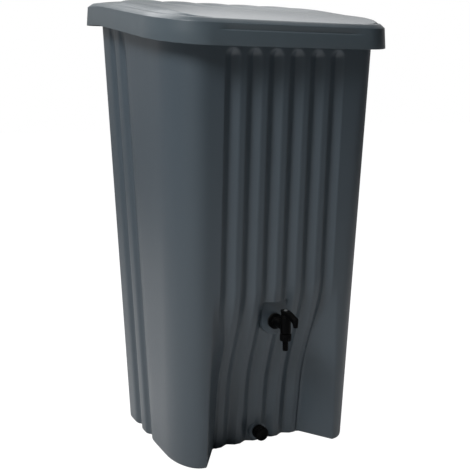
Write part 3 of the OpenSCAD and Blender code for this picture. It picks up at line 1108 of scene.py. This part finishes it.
        turns = np.radians([0, 22.5, 45, 67.5])
        made = [
            level(self.foot_round * (1 - math.cos(a)), self.foot_round * (1 - math.sin(a))) for a in turns
        ]
        heights = [*np.arange(0.008, 0.878, 0.0095), *np.arange(0.880, 0.902, 0.0025)]
        made += [level(z) for z in heights]
        under = self.rim_heights(0.0, 0.024)
        for share in (0.25, 0.5, 0.75, 1.0):
            made.append(
                self.ring(heights[-1] + (under - heights[-1]) * share, 0.0, self.side_depth * (1 - share))
            )
        for inset, drop in (
            (-0.6, 8.6), (-0.95, 8.0), (-1.0, 7.3), (-1.0, 6.3), (-0.97, 5.4), (-0.69, 0.4), (-0.64, 0.0)
        ):
            made.append(self.ring(self.rim_heights(0.0, drop * MM), inset * self.lip_width, 0.0))
        self.outer_rings = len(made)
        for inset, drop in ((0.5, 0.0), (0.9, 0.3), (1.0, 1.2)):
            made.append(self.ring(self.rim_heights(0.0, drop * MM), inset * self.wall, 0.0))
        for share in (1.0, 0.66, 0.33):
            z = heights[-1] + (self.rim_heights(0.0, 0.024) - heights[-1]) * share
            made.append(self.ring(z, self.wall, self.side_depth * (1 - share)))
        made += [level(z, self.wall) for z in heights[::-2] if z > self.floor + self.foot_round]
        made += [
            level(
                self.floor + self.foot_round * (1 - math.cos(a)),
                self.wall + self.foot_round * (1 - math.sin(a)),
            )
            for a in turns[::-1]
        ]
        return made

    def skin(self) -> Piece:
        """Builds the closed skin of the tank, without flutes, as one mesh."""
        rings = self.rings()
        count = len(rings[0])
        faces = [
            [
                k * count + i,
                k * count + (i + 1) % count,
                (k + 1) * count + (i + 1) % count,
                (k + 1) * count + i,
            ]
            for k in range(len(rings) - 1)
            for i in range(count)
        ]
        points = np.vstack(rings)
        piece = new_piece("tank_shell", points, faces)
        kinds = [stretch in ("panel", "last_flute") for stretch, _ in self.plan()]
        ring_mask = np.array(kinds + kinds[-2:0:-1], float)
        inner = np.repeat([float(k >= self.outer_rings) for k in range(len(rings))], count)
        self.store(piece, "panel", np.tile(ring_mask, len(rings)))
        self.store(piece, "inner", inner)
        self.store(piece, "panel_edge", self.panel_edge(points[:, 2]) + inner * self.wall)
        return piece

    @staticmethod
    def store(piece: Piece, label: str, values: np.ndarray) -> None:
        """Keeps one number for each point of a piece."""
        made = piece.data.attributes.new(label, "FLOAT", "POINT")
        made.data.foreach_set("value", np.asarray(values, np.float32))

    def pad_outline(self, radius: float, up: float) -> list[tuple[float, float]]:
        """Gives the tap pad's outline, flat on top and round below, as (x, z) points."""
        axis = (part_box("tap_outer_seal")[0].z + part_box("tap_outer_seal")[1].z) / 2
        turns = np.radians(np.linspace(180, 360, 41))
        return [(radius * math.cos(a), axis + radius * math.sin(a)) for a in turns] + [
            (radius, axis + up),
            (-radius, axis + up),
        ]

    def close_ends(self, mesh: bmesh.types.BMesh) -> None:
        """Fills the foot's outside and inside loops, each in its own plane."""
        loose = [edge for edge in mesh.edges if edge.is_boundary]
        for low, high in ((-1.0, self.floor / 2), (self.floor / 2, 1.0)):
            loop = [edge for edge in loose if low < edge.verts[0].co.z < high]
            bmesh.ops.triangle_fill(mesh, use_beauty=True, use_dissolve=False, edges=loop)

    def thicken_pad(self, piece: Piece, pad_y: float, axis: float) -> None:
        """Brings the wall's inside behind the tap pad's plane, so that the pocket has a closed floor."""
        data = piece.data
        spots, inner = np.zeros(len(data.vertices) * 3), np.zeros(len(data.vertices))
        data.vertices.foreach_get("co", spots)
        data.attributes["inner"].data.foreach_get("value", inner)
        spots = spots.reshape(-1, 3)
        reach = self.pad_radius + 0.014
        near = smooth((reach - np.abs(spots[:, 0])) / 0.008) * smooth(
            (axis + self.pad_up + 0.014 - spots[:, 2]) / 0.008
        )
        near *= inner * smooth((spots[:, 2] - axis + reach) / 0.008) * (spots[:, 1] < 0)
        spots[:, 1] += near * np.maximum(0.0, pad_y + self.wall - spots[:, 1])
        data.vertices.foreach_set("co", spots.reshape(-1))

    def build(self) -> list[Piece]:
        """Builds and fits the tank."""
        shell = apply_tree(
            self.skin(),
            self.shop.trees.flutes,
            {
                "Pitch": self.flute_pitch,
                "Width": self.flute_width,
                "Depth": self.flute_depth,
                "Count": self.flute_count,
                "Round Start": self.flute_top - self.flute_width / 2,
            },
        )
        edit(shell, self.close_ends)
        face_out(shell)
        pad_y, drain_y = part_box("tap_outer_seal")[1].y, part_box("drain_outer_seal")[1].y
        axis = (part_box("tap_outer_seal")[0].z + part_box("tap_outer_seal")[1].z) / 2
        drain_z = (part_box("drain_cap")[0].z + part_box("drain_cap")[1].z) / 2
        self.thicken_pad(shell, pad_y, axis)
        combine(
            shell, prism(self.pad_outline(self.pad_radius, self.pad_up), pad_y - 0.03, pad_y), "DIFFERENCE"
        )
        plate = prism(self.pad_outline(self.pad_radius, self.pad_up), pad_y, pad_y + 0.022)
        combine(shell, plate, "UNION")
        boss = turned(
            "boss", [
                (0, 0), (0.022, 0), (0.022, -0.02), (0, -0.02)
            ], (0, drain_y, drain_z), Axis.FRONT, 64, 0.0015
        )
        combine(shell, boss, "UNION")
        behind = prism(
            self.pad_outline(self.pad_radius - self.wall, self.pad_up - self.wall),
            pad_y + self.wall,
            pad_y + 0.05,
        )
        combine(shell, behind, "DIFFERENCE")
        combine(shell, rod(0.0134, -0.03, 0.03, (0.0, pad_y, axis), Axis.FRONT), "DIFFERENCE")
        combine(shell, rod(0.0104, -0.03, 0.03, (0.0, drain_y, drain_z), Axis.FRONT), "DIFFERENCE")
        return [self.shop.fit(shade(shell), Body.BARREL, Slot.TANK, "tank")]


@dataclass
class Lid:
    """The lift-off lid: a sloping deck with leaf-shaped ribs, a bevel and a skirt with a ledge."""

    shop: Workshop
    flat_half: float = 0.176
    half_width: float = 0.276
    corner_run: float = 0.128
    front_y: float = -0.263
    back_y: float = 0.264
    back_round: float = 0.014
    bulge: float = 0.005
    skirt_low: float = 0.901
    skirt_height: float = 0.042
    bevel: float = 0.010
    wall: float = 0.0035
    flare: float = 0.0028
    columns: int = 241
    side_rows: int = 64
    corner_rows: int = 26
    leaf_pitch: float = 0.084
    leaf_count: int = 6
    leaf_radius: float = 0.100
    leaf_drop: float = 0.9
    leaf_tip: float = -0.130
    leaf_climb: float = 0.027
    band_depth: float = 0.0034
    band_heights: tuple[float, ...] = (0.0278, 0.0283, 0.0290, 0.0298, 0.0305, 0.0410)
    band_depths: tuple[float, ...] = (0.0, 0.10, 0.5, 0.9, 1.0, 0.0)
    crown: float = 0.010
    crown_run: float = 0.030
    arch: float = 0.24
    border_drop: float = 0.002

    def rows(self, inset: float) -> tuple[np.ndarray, np.ndarray]:
        """Gives the y and the half width of every row of the deck's grid.

        Args:
            inset: how far the outline is moved inwards.

        Returns:
            Two arrays, from the front row to the back row.
        """
        run = self.corner_run - inset
        wide = self.half_width - self.flat_half - inset
        turns = np.radians(np.linspace(0, 90, self.corner_rows))
        y = list(self.front_y + inset + run - run * np.cos(turns))
        x = list(self.flat_half + wide * np.sin(turns))
        back_turn = np.radians(np.linspace(0, 90, 7))
        end = self.back_y - inset - self.back_round
        y += list(np.linspace(y[-1], end, self.side_rows)[1:]) + list(
            end + self.back_round * np.sin(back_turn)
        )[1:]
        x += [x[-1]] * (self.side_rows - 1)
        x += list(self.half_width - inset - self.back_round + self.back_round * np.cos(back_turn))[1:]
        return np.array(y), np.array(x)

    def sheet(self, inset: float) -> np.ndarray:
        """Gives the deck's grid as rows of x and y, moved inwards by inset."""
        y, x = self.rows(inset)
        share = np.linspace(-1, 1, self.columns)
        grid = np.zeros((len(y), self.columns, 2))
        grid[:, :, 0] = x[:, None] * share[None, :]
        grid[:, :, 1] = y[:, None]
        near = np.clip(1 - (y - y[0]) / 0.05, 0, 1) ** 2
        grid[:, :, 1] -= near[:, None] * self.bulge * np.cos(
            np.clip(np.abs(grid[:, :, 0]) / self.flat_half, 0, 1) * math.pi / 2
        )
        return grid

    def border(self, grid: np.ndarray) -> np.ndarray:
        """Gives the grid's outer points in order round the lid."""
        return np.vstack([grid[0, :-1], grid[:-1, -1], grid[-1, ::-1][:-1], grid[::-1, 0][:-1]])

    def profile(self) -> list[tuple[float, float, float]]:
        """Lists the edge's steps from the deck down, as (inset, height, share of the band's depth)."""
        top, b = self.skirt_height + self.bevel - self.border_drop, self.bevel
        points = []
        for inset, height in eased(
            [
                (b + self.flare + 0.004, top),
                (b + self.flare, top),
                (self.flare, self.skirt_height),
                *((self.flare * h / 0.042, h) for h in (0.0410, 0.0305, 0.0298, 0.0290, 0.0283, 0.0278)),
                (0.0, 0.0),
                (0.0008, -0.0002),
            ],
            0.0016,
            2,
        ):
            back = float(np.interp(height, self.band_heights, self.band_depths))
            points.append((inset, height, back))
        return points[1:]

    def build(self) -> list[Piece]:
        """Builds and fits the lid."""
        start = self.bevel + self.flare + 0.004
        grid = self.sheet(start)
        height = self.skirt_low + self.skirt_height + self.bevel - self.border_drop
        rows, columns = grid.shape[:2]
        edge_y, edge_x = self.rows(start)
        room = np.minimum(
            np.minimum(edge_x[:, None] - np.abs(grid[:, :, 0]), 1.0),
            np.minimum(grid[:, :, 1] - edge_y[0] + 0.005, edge_y[-1] - grid[:, :, 1]),
        )
        crown_room = np.minimum(room, (grid[:, :, 1] - edge_y[0] + 0.002) / 4)
        swell = 1 - (1 - np.clip(crown_room / self.crown_run, 0, 1)) ** 2
        past = np.maximum(0.0, grid[:, :, 1] - SLOPE.bend_start)
        fall = SLOPE.bend_drop * past**2 - self.arch * np.maximum(0.0, grid[:, :, 1]) ** 2
        deck = np.dstack([grid, height + SLOPE.rise(grid[:, :, 1]) + swell * (self.crown + fall)])
        points = [tuple(p) for p in deck.reshape(-1, 3)]
        faces = [
            [r * columns + c, r * columns + c + 1, (r + 1) * columns + c + 1, (r + 1) * columns + c]
            for r in range(rows - 1)
            for c in range(columns - 1)
        ]
        numbers = np.arange(rows * columns).reshape(rows, columns, 1)
        previous = self.border(numbers)[:, 0]
        for inset, above, back in self.profile():
            ring = self.border(self.sheet(inset))
            ends = smooth((0.172 - np.abs(ring[:, 0])) / 0.035) * (ring[:, 1] < self.front_y + 0.03)
            ring[:, 1] += self.band_depth * back * ends
            z = self.skirt_low + above + SLOPE.rise(ring[:, 1])
            first = len(points)
            points += [(x, y, h) for (x, y), h in zip(ring, z)]
            current = np.arange(first, first + len(ring))
            count = len(ring)
            faces += [
                [
                    previous[i], previous[(i + 1) % count], current[(i + 1) % count], current[i]
                ] for i in range(count)
            ]
            previous = current
        lid = new_piece("lid_shell", points, faces)
        mask = np.zeros(len(points))
        mask[: rows * columns] = smooth(room.reshape(-1) / 0.012)
        Tank.store(lid, "deck", mask)
        apply_tree(
            lid,
            self.shop.trees.leaves,
            {
                "Pitch": self.leaf_pitch,
                "Count": self.leaf_count,
                "Radius": self.leaf_radius,
                "Drop": self.leaf_drop,
                "Tip": self.leaf_tip,
                "Climb": self.leaf_climb,
            },
        )
        face_out(lid)
        thick = lid.modifiers.new("thick", "SOLIDIFY")
        thick.thickness, thick.offset = self.wall, -1.0
        settle(lid)
        return [self.shop.fit(shade(lid, 40), Body.LID, Slot.LID, "lid")]


@dataclass
class Tap:
    """The outlet tap: flange and shank, upright barrel, lever, spout nut and hose tail."""

    shop: Workshop
    flange_radius: float = 0.0175
    shank_radius: float = 0.013
    neck_radius: float = 0.0105
    barrel_radius: float = 0.0115
    barrel_low: float = 0.303
    barrel_high: float = 0.338
    spout_radius: float = 0.0095
    tail_radius: float = 0.0065
    voxel: float = 0.0008

    @property
    def pad_y(self) -> float:
        """The face of the pad that the tap is on."""
        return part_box("tap_outer_seal")[1].y

    @property
    def axis_z(self) -> float:
        """The height of the tap's level axis."""
        low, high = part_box("tap_outer_seal")
        return (low.z + high.z) / 2

    @property
    def spout(self) -> tuple[float, float, float]:
        """A point on the upright spout's axis, at the ground."""
        x, y, _ = JOINTS["valve_turn"]["pos_m"]
        return x, y, 0.0

    def body(self) -> Piece:
        """Builds the body as one moulding, with the plug's seat bored out of it."""
        pad = (0.0, self.pad_y, self.axis_z)
        reach = self.pad_y - self.spout[1]
        flange = [(0, 0.003), (self.flange_radius, 0.003), (self.flange_radius, 0.009), (0, 0.009)]
        parts = [
            turned("flange", flange, pad, Axis.FRONT, 64, 0.0012),
            rod(self.shank_radius - 0.0008, -0.023, 0.004, pad, Axis.FRONT),
            rod(self.neck_radius, 0.008, reach, pad, Axis.FRONT),
            rod(self.neck_radius + 0.0022, 0.008, 0.016, pad, Axis.FRONT, 6),
            rod(self.barrel_radius, self.barrel_low, self.barrel_high, self.spout, Axis.UP),
            rod(self.spout_radius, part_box("nozzle_seal")[1].z, self.barrel_low + 0.002, self.spout, Axis.UP),
        ]
        made = melt("tap_moulding", parts, self.voxel, 3)
        combine(
            made,
            rod(0.0081, self.barrel_low + 0.003, self.barrel_high + 0.01, self.spout, Axis.UP),
            "DIFFERENCE",
        )
        combine(
            made,
            rod(0.005, self.barrel_low - 0.03, self.barrel_low + 0.01, self.spout, Axis.UP),
            "DIFFERENCE",
        )
        combine(made, rod(0.008, -0.03, reach - 0.0125, pad, Axis.FRONT), "DIFFERENCE")
        return apply_tree(
            made,
            self.shop.trees.thread,
            {
                "Radius": self.shank_radius - 0.0009,
                "Pitch": 0.0025,
                "Length": 0.021,
                "Rise": 0.0009,
                "Place": (0.0, self.pad_y + 0.001, self.axis_z),
                "Turn": (-math.pi / 2, 0.0, 0.0),
                "Material": self.shop.finishes[Slot.BLACK],
            },
        )

    def lever(self) -> Piece:
        """Builds the lever: a hub on the stem, an arm and a turned-down grip."""
        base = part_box("tap_gland")[1].z + 0.0003
        x, y, _ = self.spout

        def disc(forward: float, low: float, high: float, radius: float) -> list[tuple[float, float, float]]:
            """The rims of a short round bar, forward of the stem."""
            turns = np.radians(np.arange(0, 360, 15))
            return [
                (
                    x + radius * math.cos(a), y - forward + radius * math.sin(a), base + z
                ) for z in (low, high) for a in turns
            ]

        parts = [
            turned(
                "hub", [(0, 0), (0.0105, 0), (0.0105, 0.009), (0, 0.009)], (x, y, base), Axis.UP, 48, 0.001
            ),
            wrapped("rear", disc(-0.010, 0.0045, 0.0095, 0.0065) + disc(0.008, 0.002, 0.0095, 0.0078)),
            wrapped("arm", disc(0.008, 0.002, 0.0095, 0.0078) + disc(0.040, -0.007, 0.001, 0.0068)),
            wrapped("grip", disc(0.040, -0.007, -0.004, 0.0068) + disc(0.042, -0.017, -0.014, 0.005)),
        ]
        made = melt("tap_handle", parts, 0.0007, 4)
        combine(made, rod(0.0051, -0.002, 0.012, (x, y, base), Axis.UP), "DIFFERENCE")
        return made

    def screw(self) -> Piece:
        """Builds the lever's screw with a domed head and a cross recess."""
        low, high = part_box("tap_lever_screw")
        head = high.z - 0.0025
        made = turned(
            "lever_screw",
            [
                (0, low.z),
                (0.00155, low.z + 0.001),
                (0.00155, head),
                (0.0042, head),
                (0.0042, head + 0.0009),
                (0.0028, high.z - 0.0003),
                (0, high.z),
            ],
            self.spout,
            Axis.UP,
            48,
            0.0003,
        )
        x, y, _ = self.spout
        for wide, deep in ((0.0022, 0.0005), (0.0005, 0.0022)):
            corners = [
                (x + a * wide, y + b * deep, z) for a in (-1, 1) for b in (-1, 1) for z in (
                    high.z - 0.0014, high.z + 0.001
                )
            ]
            combine(made, wrapped("recess", corners), "DIFFERENCE")
        return shade(made)

    def nut(self) -> Piece:
        """Builds the ribbed spout nut."""
        low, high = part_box("spout_nut")
        line = [
            (0.0096, high.z),
            (0.0118, high.z),
            (0.0118, low.z),
            (0.0068, low.z),
            (0.0068, low.z + 0.0034),
            (0.0096, low.z + 0.0034),
        ]
        made = turned("spout_nut_turned", line, self.spout, Axis.UP, 64)
        return apply_tree(
            made,
            self.shop.trees.grip,
            {
                "Count": 16,
                "Ring Radius": 0.0112,
                "Rib Radius": 0.0013,
                "Rib Length": 0.0108,
                "Place": (self.spout[0], self.spout[1], (low.z + high.z) / 2),
                "Turn": (0.0, 0.0, 0.0),
                "Material": self.shop.finishes[Slot.BLACK],
            },
        )

    def tail(self) -> Piece:
        """Builds the hose tail with its barbs and its bore."""
        low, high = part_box("hose_nozzle")
        r, end = self.tail_radius, low.z
        line = [(0.005, high.z), (0.0093, high.z), (0.0093, high.z - 0.0025), (r - 0.0008, high.z - 0.0028)]
        for k in range(4):
            z = end + 0.0045 * (4 - k)
            line += [(r - 0.0010, z), (r, z - 0.0004), (r - 0.0009, z - 0.0042)]
        line += [(r - 0.0013, end), (0.0047, end)]
        return turned("hose_tail_barbed", line, self.spout, Axis.UP, 56)

    def build(self) -> list[Piece]:
        """Builds and fits the tap's pieces and dresses the nodes that stay."""
        fit, low_high = self.shop.fit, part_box("tap_gland")
        gland = [
            (0.00505, low_high[1].z),
            (0.0105, low_high[1].z),
            (0.0113, low_high[1].z - 0.0008),
            (0.0113, low_high[0].z),
            (0.00505, low_high[0].z),
        ]
        made = [
            fit(self.body(), Body.BARREL, Slot.BLACK, "tap_body"),
            fit(turned("gland_ring", gland, self.spout, Axis.UP), Body.BARREL, Slot.BLACK, "tap_gland"),
            fit(self.nut(), Body.BARREL, Slot.BLACK, "spout_nut"),
            fit(self.tail(), Body.BARREL, Slot.BLACK, "hose_nozzle"),
            fit(self.lever(), Body.VALVE, Slot.BLACK, "tap_lever"),
            fit(self.screw(), Body.VALVE, Slot.STEEL, "tap_lever_screw"),
        ]
        for node in ("tap_backnut", "tap_plug"):
            self.shop.dress(node, Slot.BLACK)
        for node in ("tap_outer_seal", "tap_inner_seal", "tap_plug_rings", "nozzle_seal"):
            self.shop.dress(node, Slot.RUBBER)
        return made


@dataclass
class Drain:
    """The drain: a threaded spigot through the wall and its ribbed screw cap."""

    shop: Workshop
    cap_radius: float = 0.0165
    rib_radius: float = 0.0014
    rib_count: int = 20

    @property
    def centre(self) -> tuple[float, float, float]:
        """The point of the drain's axis on the pad's face."""
        low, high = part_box("drain_cap")
        return (low.x + high.x) / 2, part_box("drain_outer_seal")[1].y, (low.z + high.z) / 2

    def spigot(self) -> Piece:
        """Builds the spigot with its collar, bore and thread."""
        y = self.centre[1]
        low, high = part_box("drain_spigot")
        end, back = y - low.y, y - high.y
        line = [(0.007, end), (0.0109, end), (0.0112, end - 0.0008), (0.0112, 0.0066), (0.0155, 0.0065)]
        line += [(0.0155, 0.0025), (0.0100, 0.0025), (0.0100, back), (0.007, back)]
        return apply_tree(
            turned("drain_spout_turned", line, self.centre, Axis.FRONT),
            self.shop.trees.thread,
            {
                "Radius": 0.0111,
                "Pitch": 0.003,
                "Length": 0.0105,
                "Rise": 0.0008,
                "Place": (self.centre[0], y - 0.0075, self.centre[2]),
                "Turn": (math.pi / 2, 0.0, 0.0),
                "Material": self.shop.finishes[Slot.BLACK],
            },
        )

    def cap(self) -> Piece:
        """Builds the cap: a cup with a dished end and ribs round it."""
        y = self.centre[1]
        low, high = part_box("drain_cap")
        end, mouth, r = y - low.y, y - high.y, self.cap_radius
        line = [
            (0, end - 0.0012),
            (0.0075, end - 0.0012),
            (0.0095, end),
            (r - 0.003, end),
            (r - 0.0008, end - 0.0016),
        ]
        line += [(r - 0.0007, mouth), (0.01215, mouth), (0.01215, end - 0.003), (0, end - 0.003)]
        made = turned("drain_cap_turned", line, self.centre, Axis.FRONT, 80)
        return apply_tree(
            made,
            self.shop.trees.grip,
            {
                "Count": self.rib_count,
                "Ring Radius": r - self.rib_radius - 0.0001,
                "Rib Radius": self.rib_radius,
                "Rib Length": 0.0118,
                "Place": (self.centre[0], y - (end + mouth) / 2 + 0.0006, self.centre[2]),
                "Turn": (math.pi / 2, 0.0, 0.0),
                "Material": self.shop.finishes[Slot.BLACK],
            },
        )

    def build(self) -> list[Piece]:
        """Builds and fits the drain's pieces and dresses the nodes that stay."""
        made = [
            self.shop.fit(self.spigot(), Body.BARREL, Slot.BLACK, "drain_spigot"),
            self.shop.fit(self.cap(), Body.DRAIN_CAP, Slot.BLACK, "drain_cap"),
        ]
        self.shop.dress("drain_backnut", Slot.BLACK)
        for node in ("drain_outer_seal", "drain_inner_seal", "drain_cap_seal"):
            self.shop.dress(node, Slot.RUBBER)
        return made


@dataclass(frozen=True)
class Lamp:
    """One soft square light, a set distance from the barrel's middle and aimed at it."""

    name: str
    way: tuple[float, float, float]
    power: float
    side: float = 1.5
    distance: float = 2.8
    middle: tuple[float, float, float] = (0.0, 0.0, 0.5)

    def build(self) -> Piece:
        """Makes the light."""
        data = bpy.data.lights.new(self.name, "AREA")
        data.shape, data.size, data.energy = "SQUARE", self.side, self.power
        lamp = bpy.data.objects.new(self.name, data)
        bpy.context.scene.collection.objects.link(lamp)
        out = np.array(self.way) / np.linalg.norm(self.way) * self.distance
        lamp.location = out + np.array(self.middle)
        level = math.hypot(out[0], out[1])
        lamp.rotation_euler = (math.atan2(level, out[2]), 0.0, math.atan2(out[0], -out[1]))
        return lamp


@dataclass
class Studio:
    """The pale floor, the soft lights, the backdrop and the camera."""

    camera_place: tuple[float, float, float] = (-0.824, -1.650, 0.816)
    camera_pitch: float = 79.63
    camera_turn: float = -26.40
    lens: float = 60.40
    backdrop: float = 1.0
    fill: float = 0.012
    glow_behind: float = 0.42
    floor_glow: float = 0.86

    def lamps(self) -> list[Lamp]:
        """Lists the lights."""
        key = (-0.9, -0.5, 1.0)
        return [
            Lamp("key_left_front", key, 63.0, side=1.0),
            Lamp("back_right_high", (0.6, 0.7, 1.2), 20.0),
            Lamp("back_high", (-0.3, 0.8, 1.3), 26.0),
            Lamp("edge_spark", key, 8.0, side=0.5),
            Lamp("top_spark", (-0.5, -0.3, 1.5), 7.0, side=0.5),
        ]

    def build(self) -> None:
        """Builds the whole set."""
        scene = bpy.context.scene
        data = bpy.data.cameras.new("camera")
        data.lens, data.sensor_width, data.clip_end = self.lens, 36.0, 50.0
        camera = bpy.data.objects.new("camera", data)
        scene.collection.objects.link(camera)
        camera.location = self.camera_place
        camera.rotation_euler = (math.radians(self.camera_pitch), 0.0, math.radians(self.camera_turn))
        scene.camera = camera
        scene.view_settings.view_transform = "Standard"
        for lamp in self.lamps():
            lamp.build()
        self.floor()
        self.world()

    def floor(self) -> None:
        """Lays the pale floor."""
        half, low = 14.0, -0.0006
        plane = new_piece(
            "floor",
            [(-half, -half, low), (half, -half, low), (half, half, low), (-half, half, low)],
            [[0, 1, 2, 3]],
        )
        material = bpy.data.materials.new("pale_floor")
        material.use_nodes = True
        shader = material.node_tree.nodes["Principled BSDF"]
        shader.inputs["Base Color"].default_value = (0.9, 0.9, 0.9, 1.0)
        shader.inputs["Roughness"].default_value = 0.85
        sheet = Sheet(material.node_tree)
        seen = sheet.add("ShaderNodeLightPath").outputs["Is Camera Ray"]
        glow = sheet.add(
            "ShaderNodeEmission", {"Color": (1.0, 1.0, 1.0, 1.0), "Strength": 1.0 / self.floor_glow}
        )
        share = sheet.math("MULTIPLY", seen, self.floor_glow)
        both = sheet.add("ShaderNodeMixShader", {0: share, 1: shader.outputs[0], 2: glow.outputs[0]})
        sheet.feed(material.node_tree.nodes["Material Output"].inputs["Surface"], both.outputs[0])
        plane.data.materials.append(material)

    def world(self) -> None:
        """Makes an even backdrop that is bright to the eye and gentler as a light."""
        world = bpy.data.worlds.new("backdrop")
        bpy.context.scene.world = world
        world.use_nodes = True
        sheet = Sheet(world.node_tree)
        glow = world.node_tree.nodes["Background"]
        seen = sheet.add("ShaderNodeLightPath").outputs["Is Camera Ray"]
        way = sheet.add("ShaderNodeSeparateXYZ", {0: sheet.add("ShaderNodeTexCoord").outputs["Generated"]})
        behind = sheet.ramp(way.outputs[1], 0.0, 0.7, self.fill, self.glow_behind)
        sheet.feed(
            glow.inputs["Strength"],
            sheet.math("MAXIMUM", behind, sheet.math("MULTIPLY", seen, self.backdrop)),
        )
        glow.inputs["Color"].default_value = (1.0, 1.0, 1.0, 1.0)


FINISHES = {
    Slot.TANK: Plastic(
        "tank_satin",
        (0.044, 0.0595, 0.0735),
        (0.105, 0.135, 0.165),
        mottle=0.05,
        dust=0.05,
        splash=0.12,
        rub=0.25,
    ),
    Slot.LID: Plastic(
        "lid_satin",
        (0.060, 0.078, 0.091),
        (0.12, 0.15, 0.18),
        roughness=0.36,
        mottle=0.05,
        dust=0.06,
        rub=0.25,
    ),
    Slot.BLACK: Plastic(
        "black_moulding", (0.0010, 0.0010, 0.0012), (0.003, 0.003, 0.0035), roughness=0.45, mottle=0.2,
        dust=0.02, splash=0.04, cells=1500.0, grain_depth=0.00005, specular=0.04,
    ),
    Slot.RUBBER: Plastic(
        "seal_rubber", (0.008, 0.008, 0.008), (0.02, 0.02, 0.02), roughness=0.7, dust=0.05, splash=0.05,
        cells=1800.0, grain_depth=0.00008, specular=0.25,
    ),
    Slot.STEEL: Steel("plated_steel"),
}


def main() -> None:
    """Builds the barrel in order, then the set."""
    logging.basicConfig(level=logging.INFO, format="%(name)s: %(message)s")
    effects = SurfaceEffects()
    shop = Workshop(GeometryTrees(), {slot: finish.build(effects) for slot, finish in FINISHES.items()})
    for part in (Tank(shop), Lid(shop), Tap(shop), Drain(shop)):
        for piece in part.build():
            LOG.info("made %s for the %s", piece.name, type(part).__name__.lower())
    Studio().build()
    bpy.context.view_layer.update()


if __name__ == "__main__":
    main()
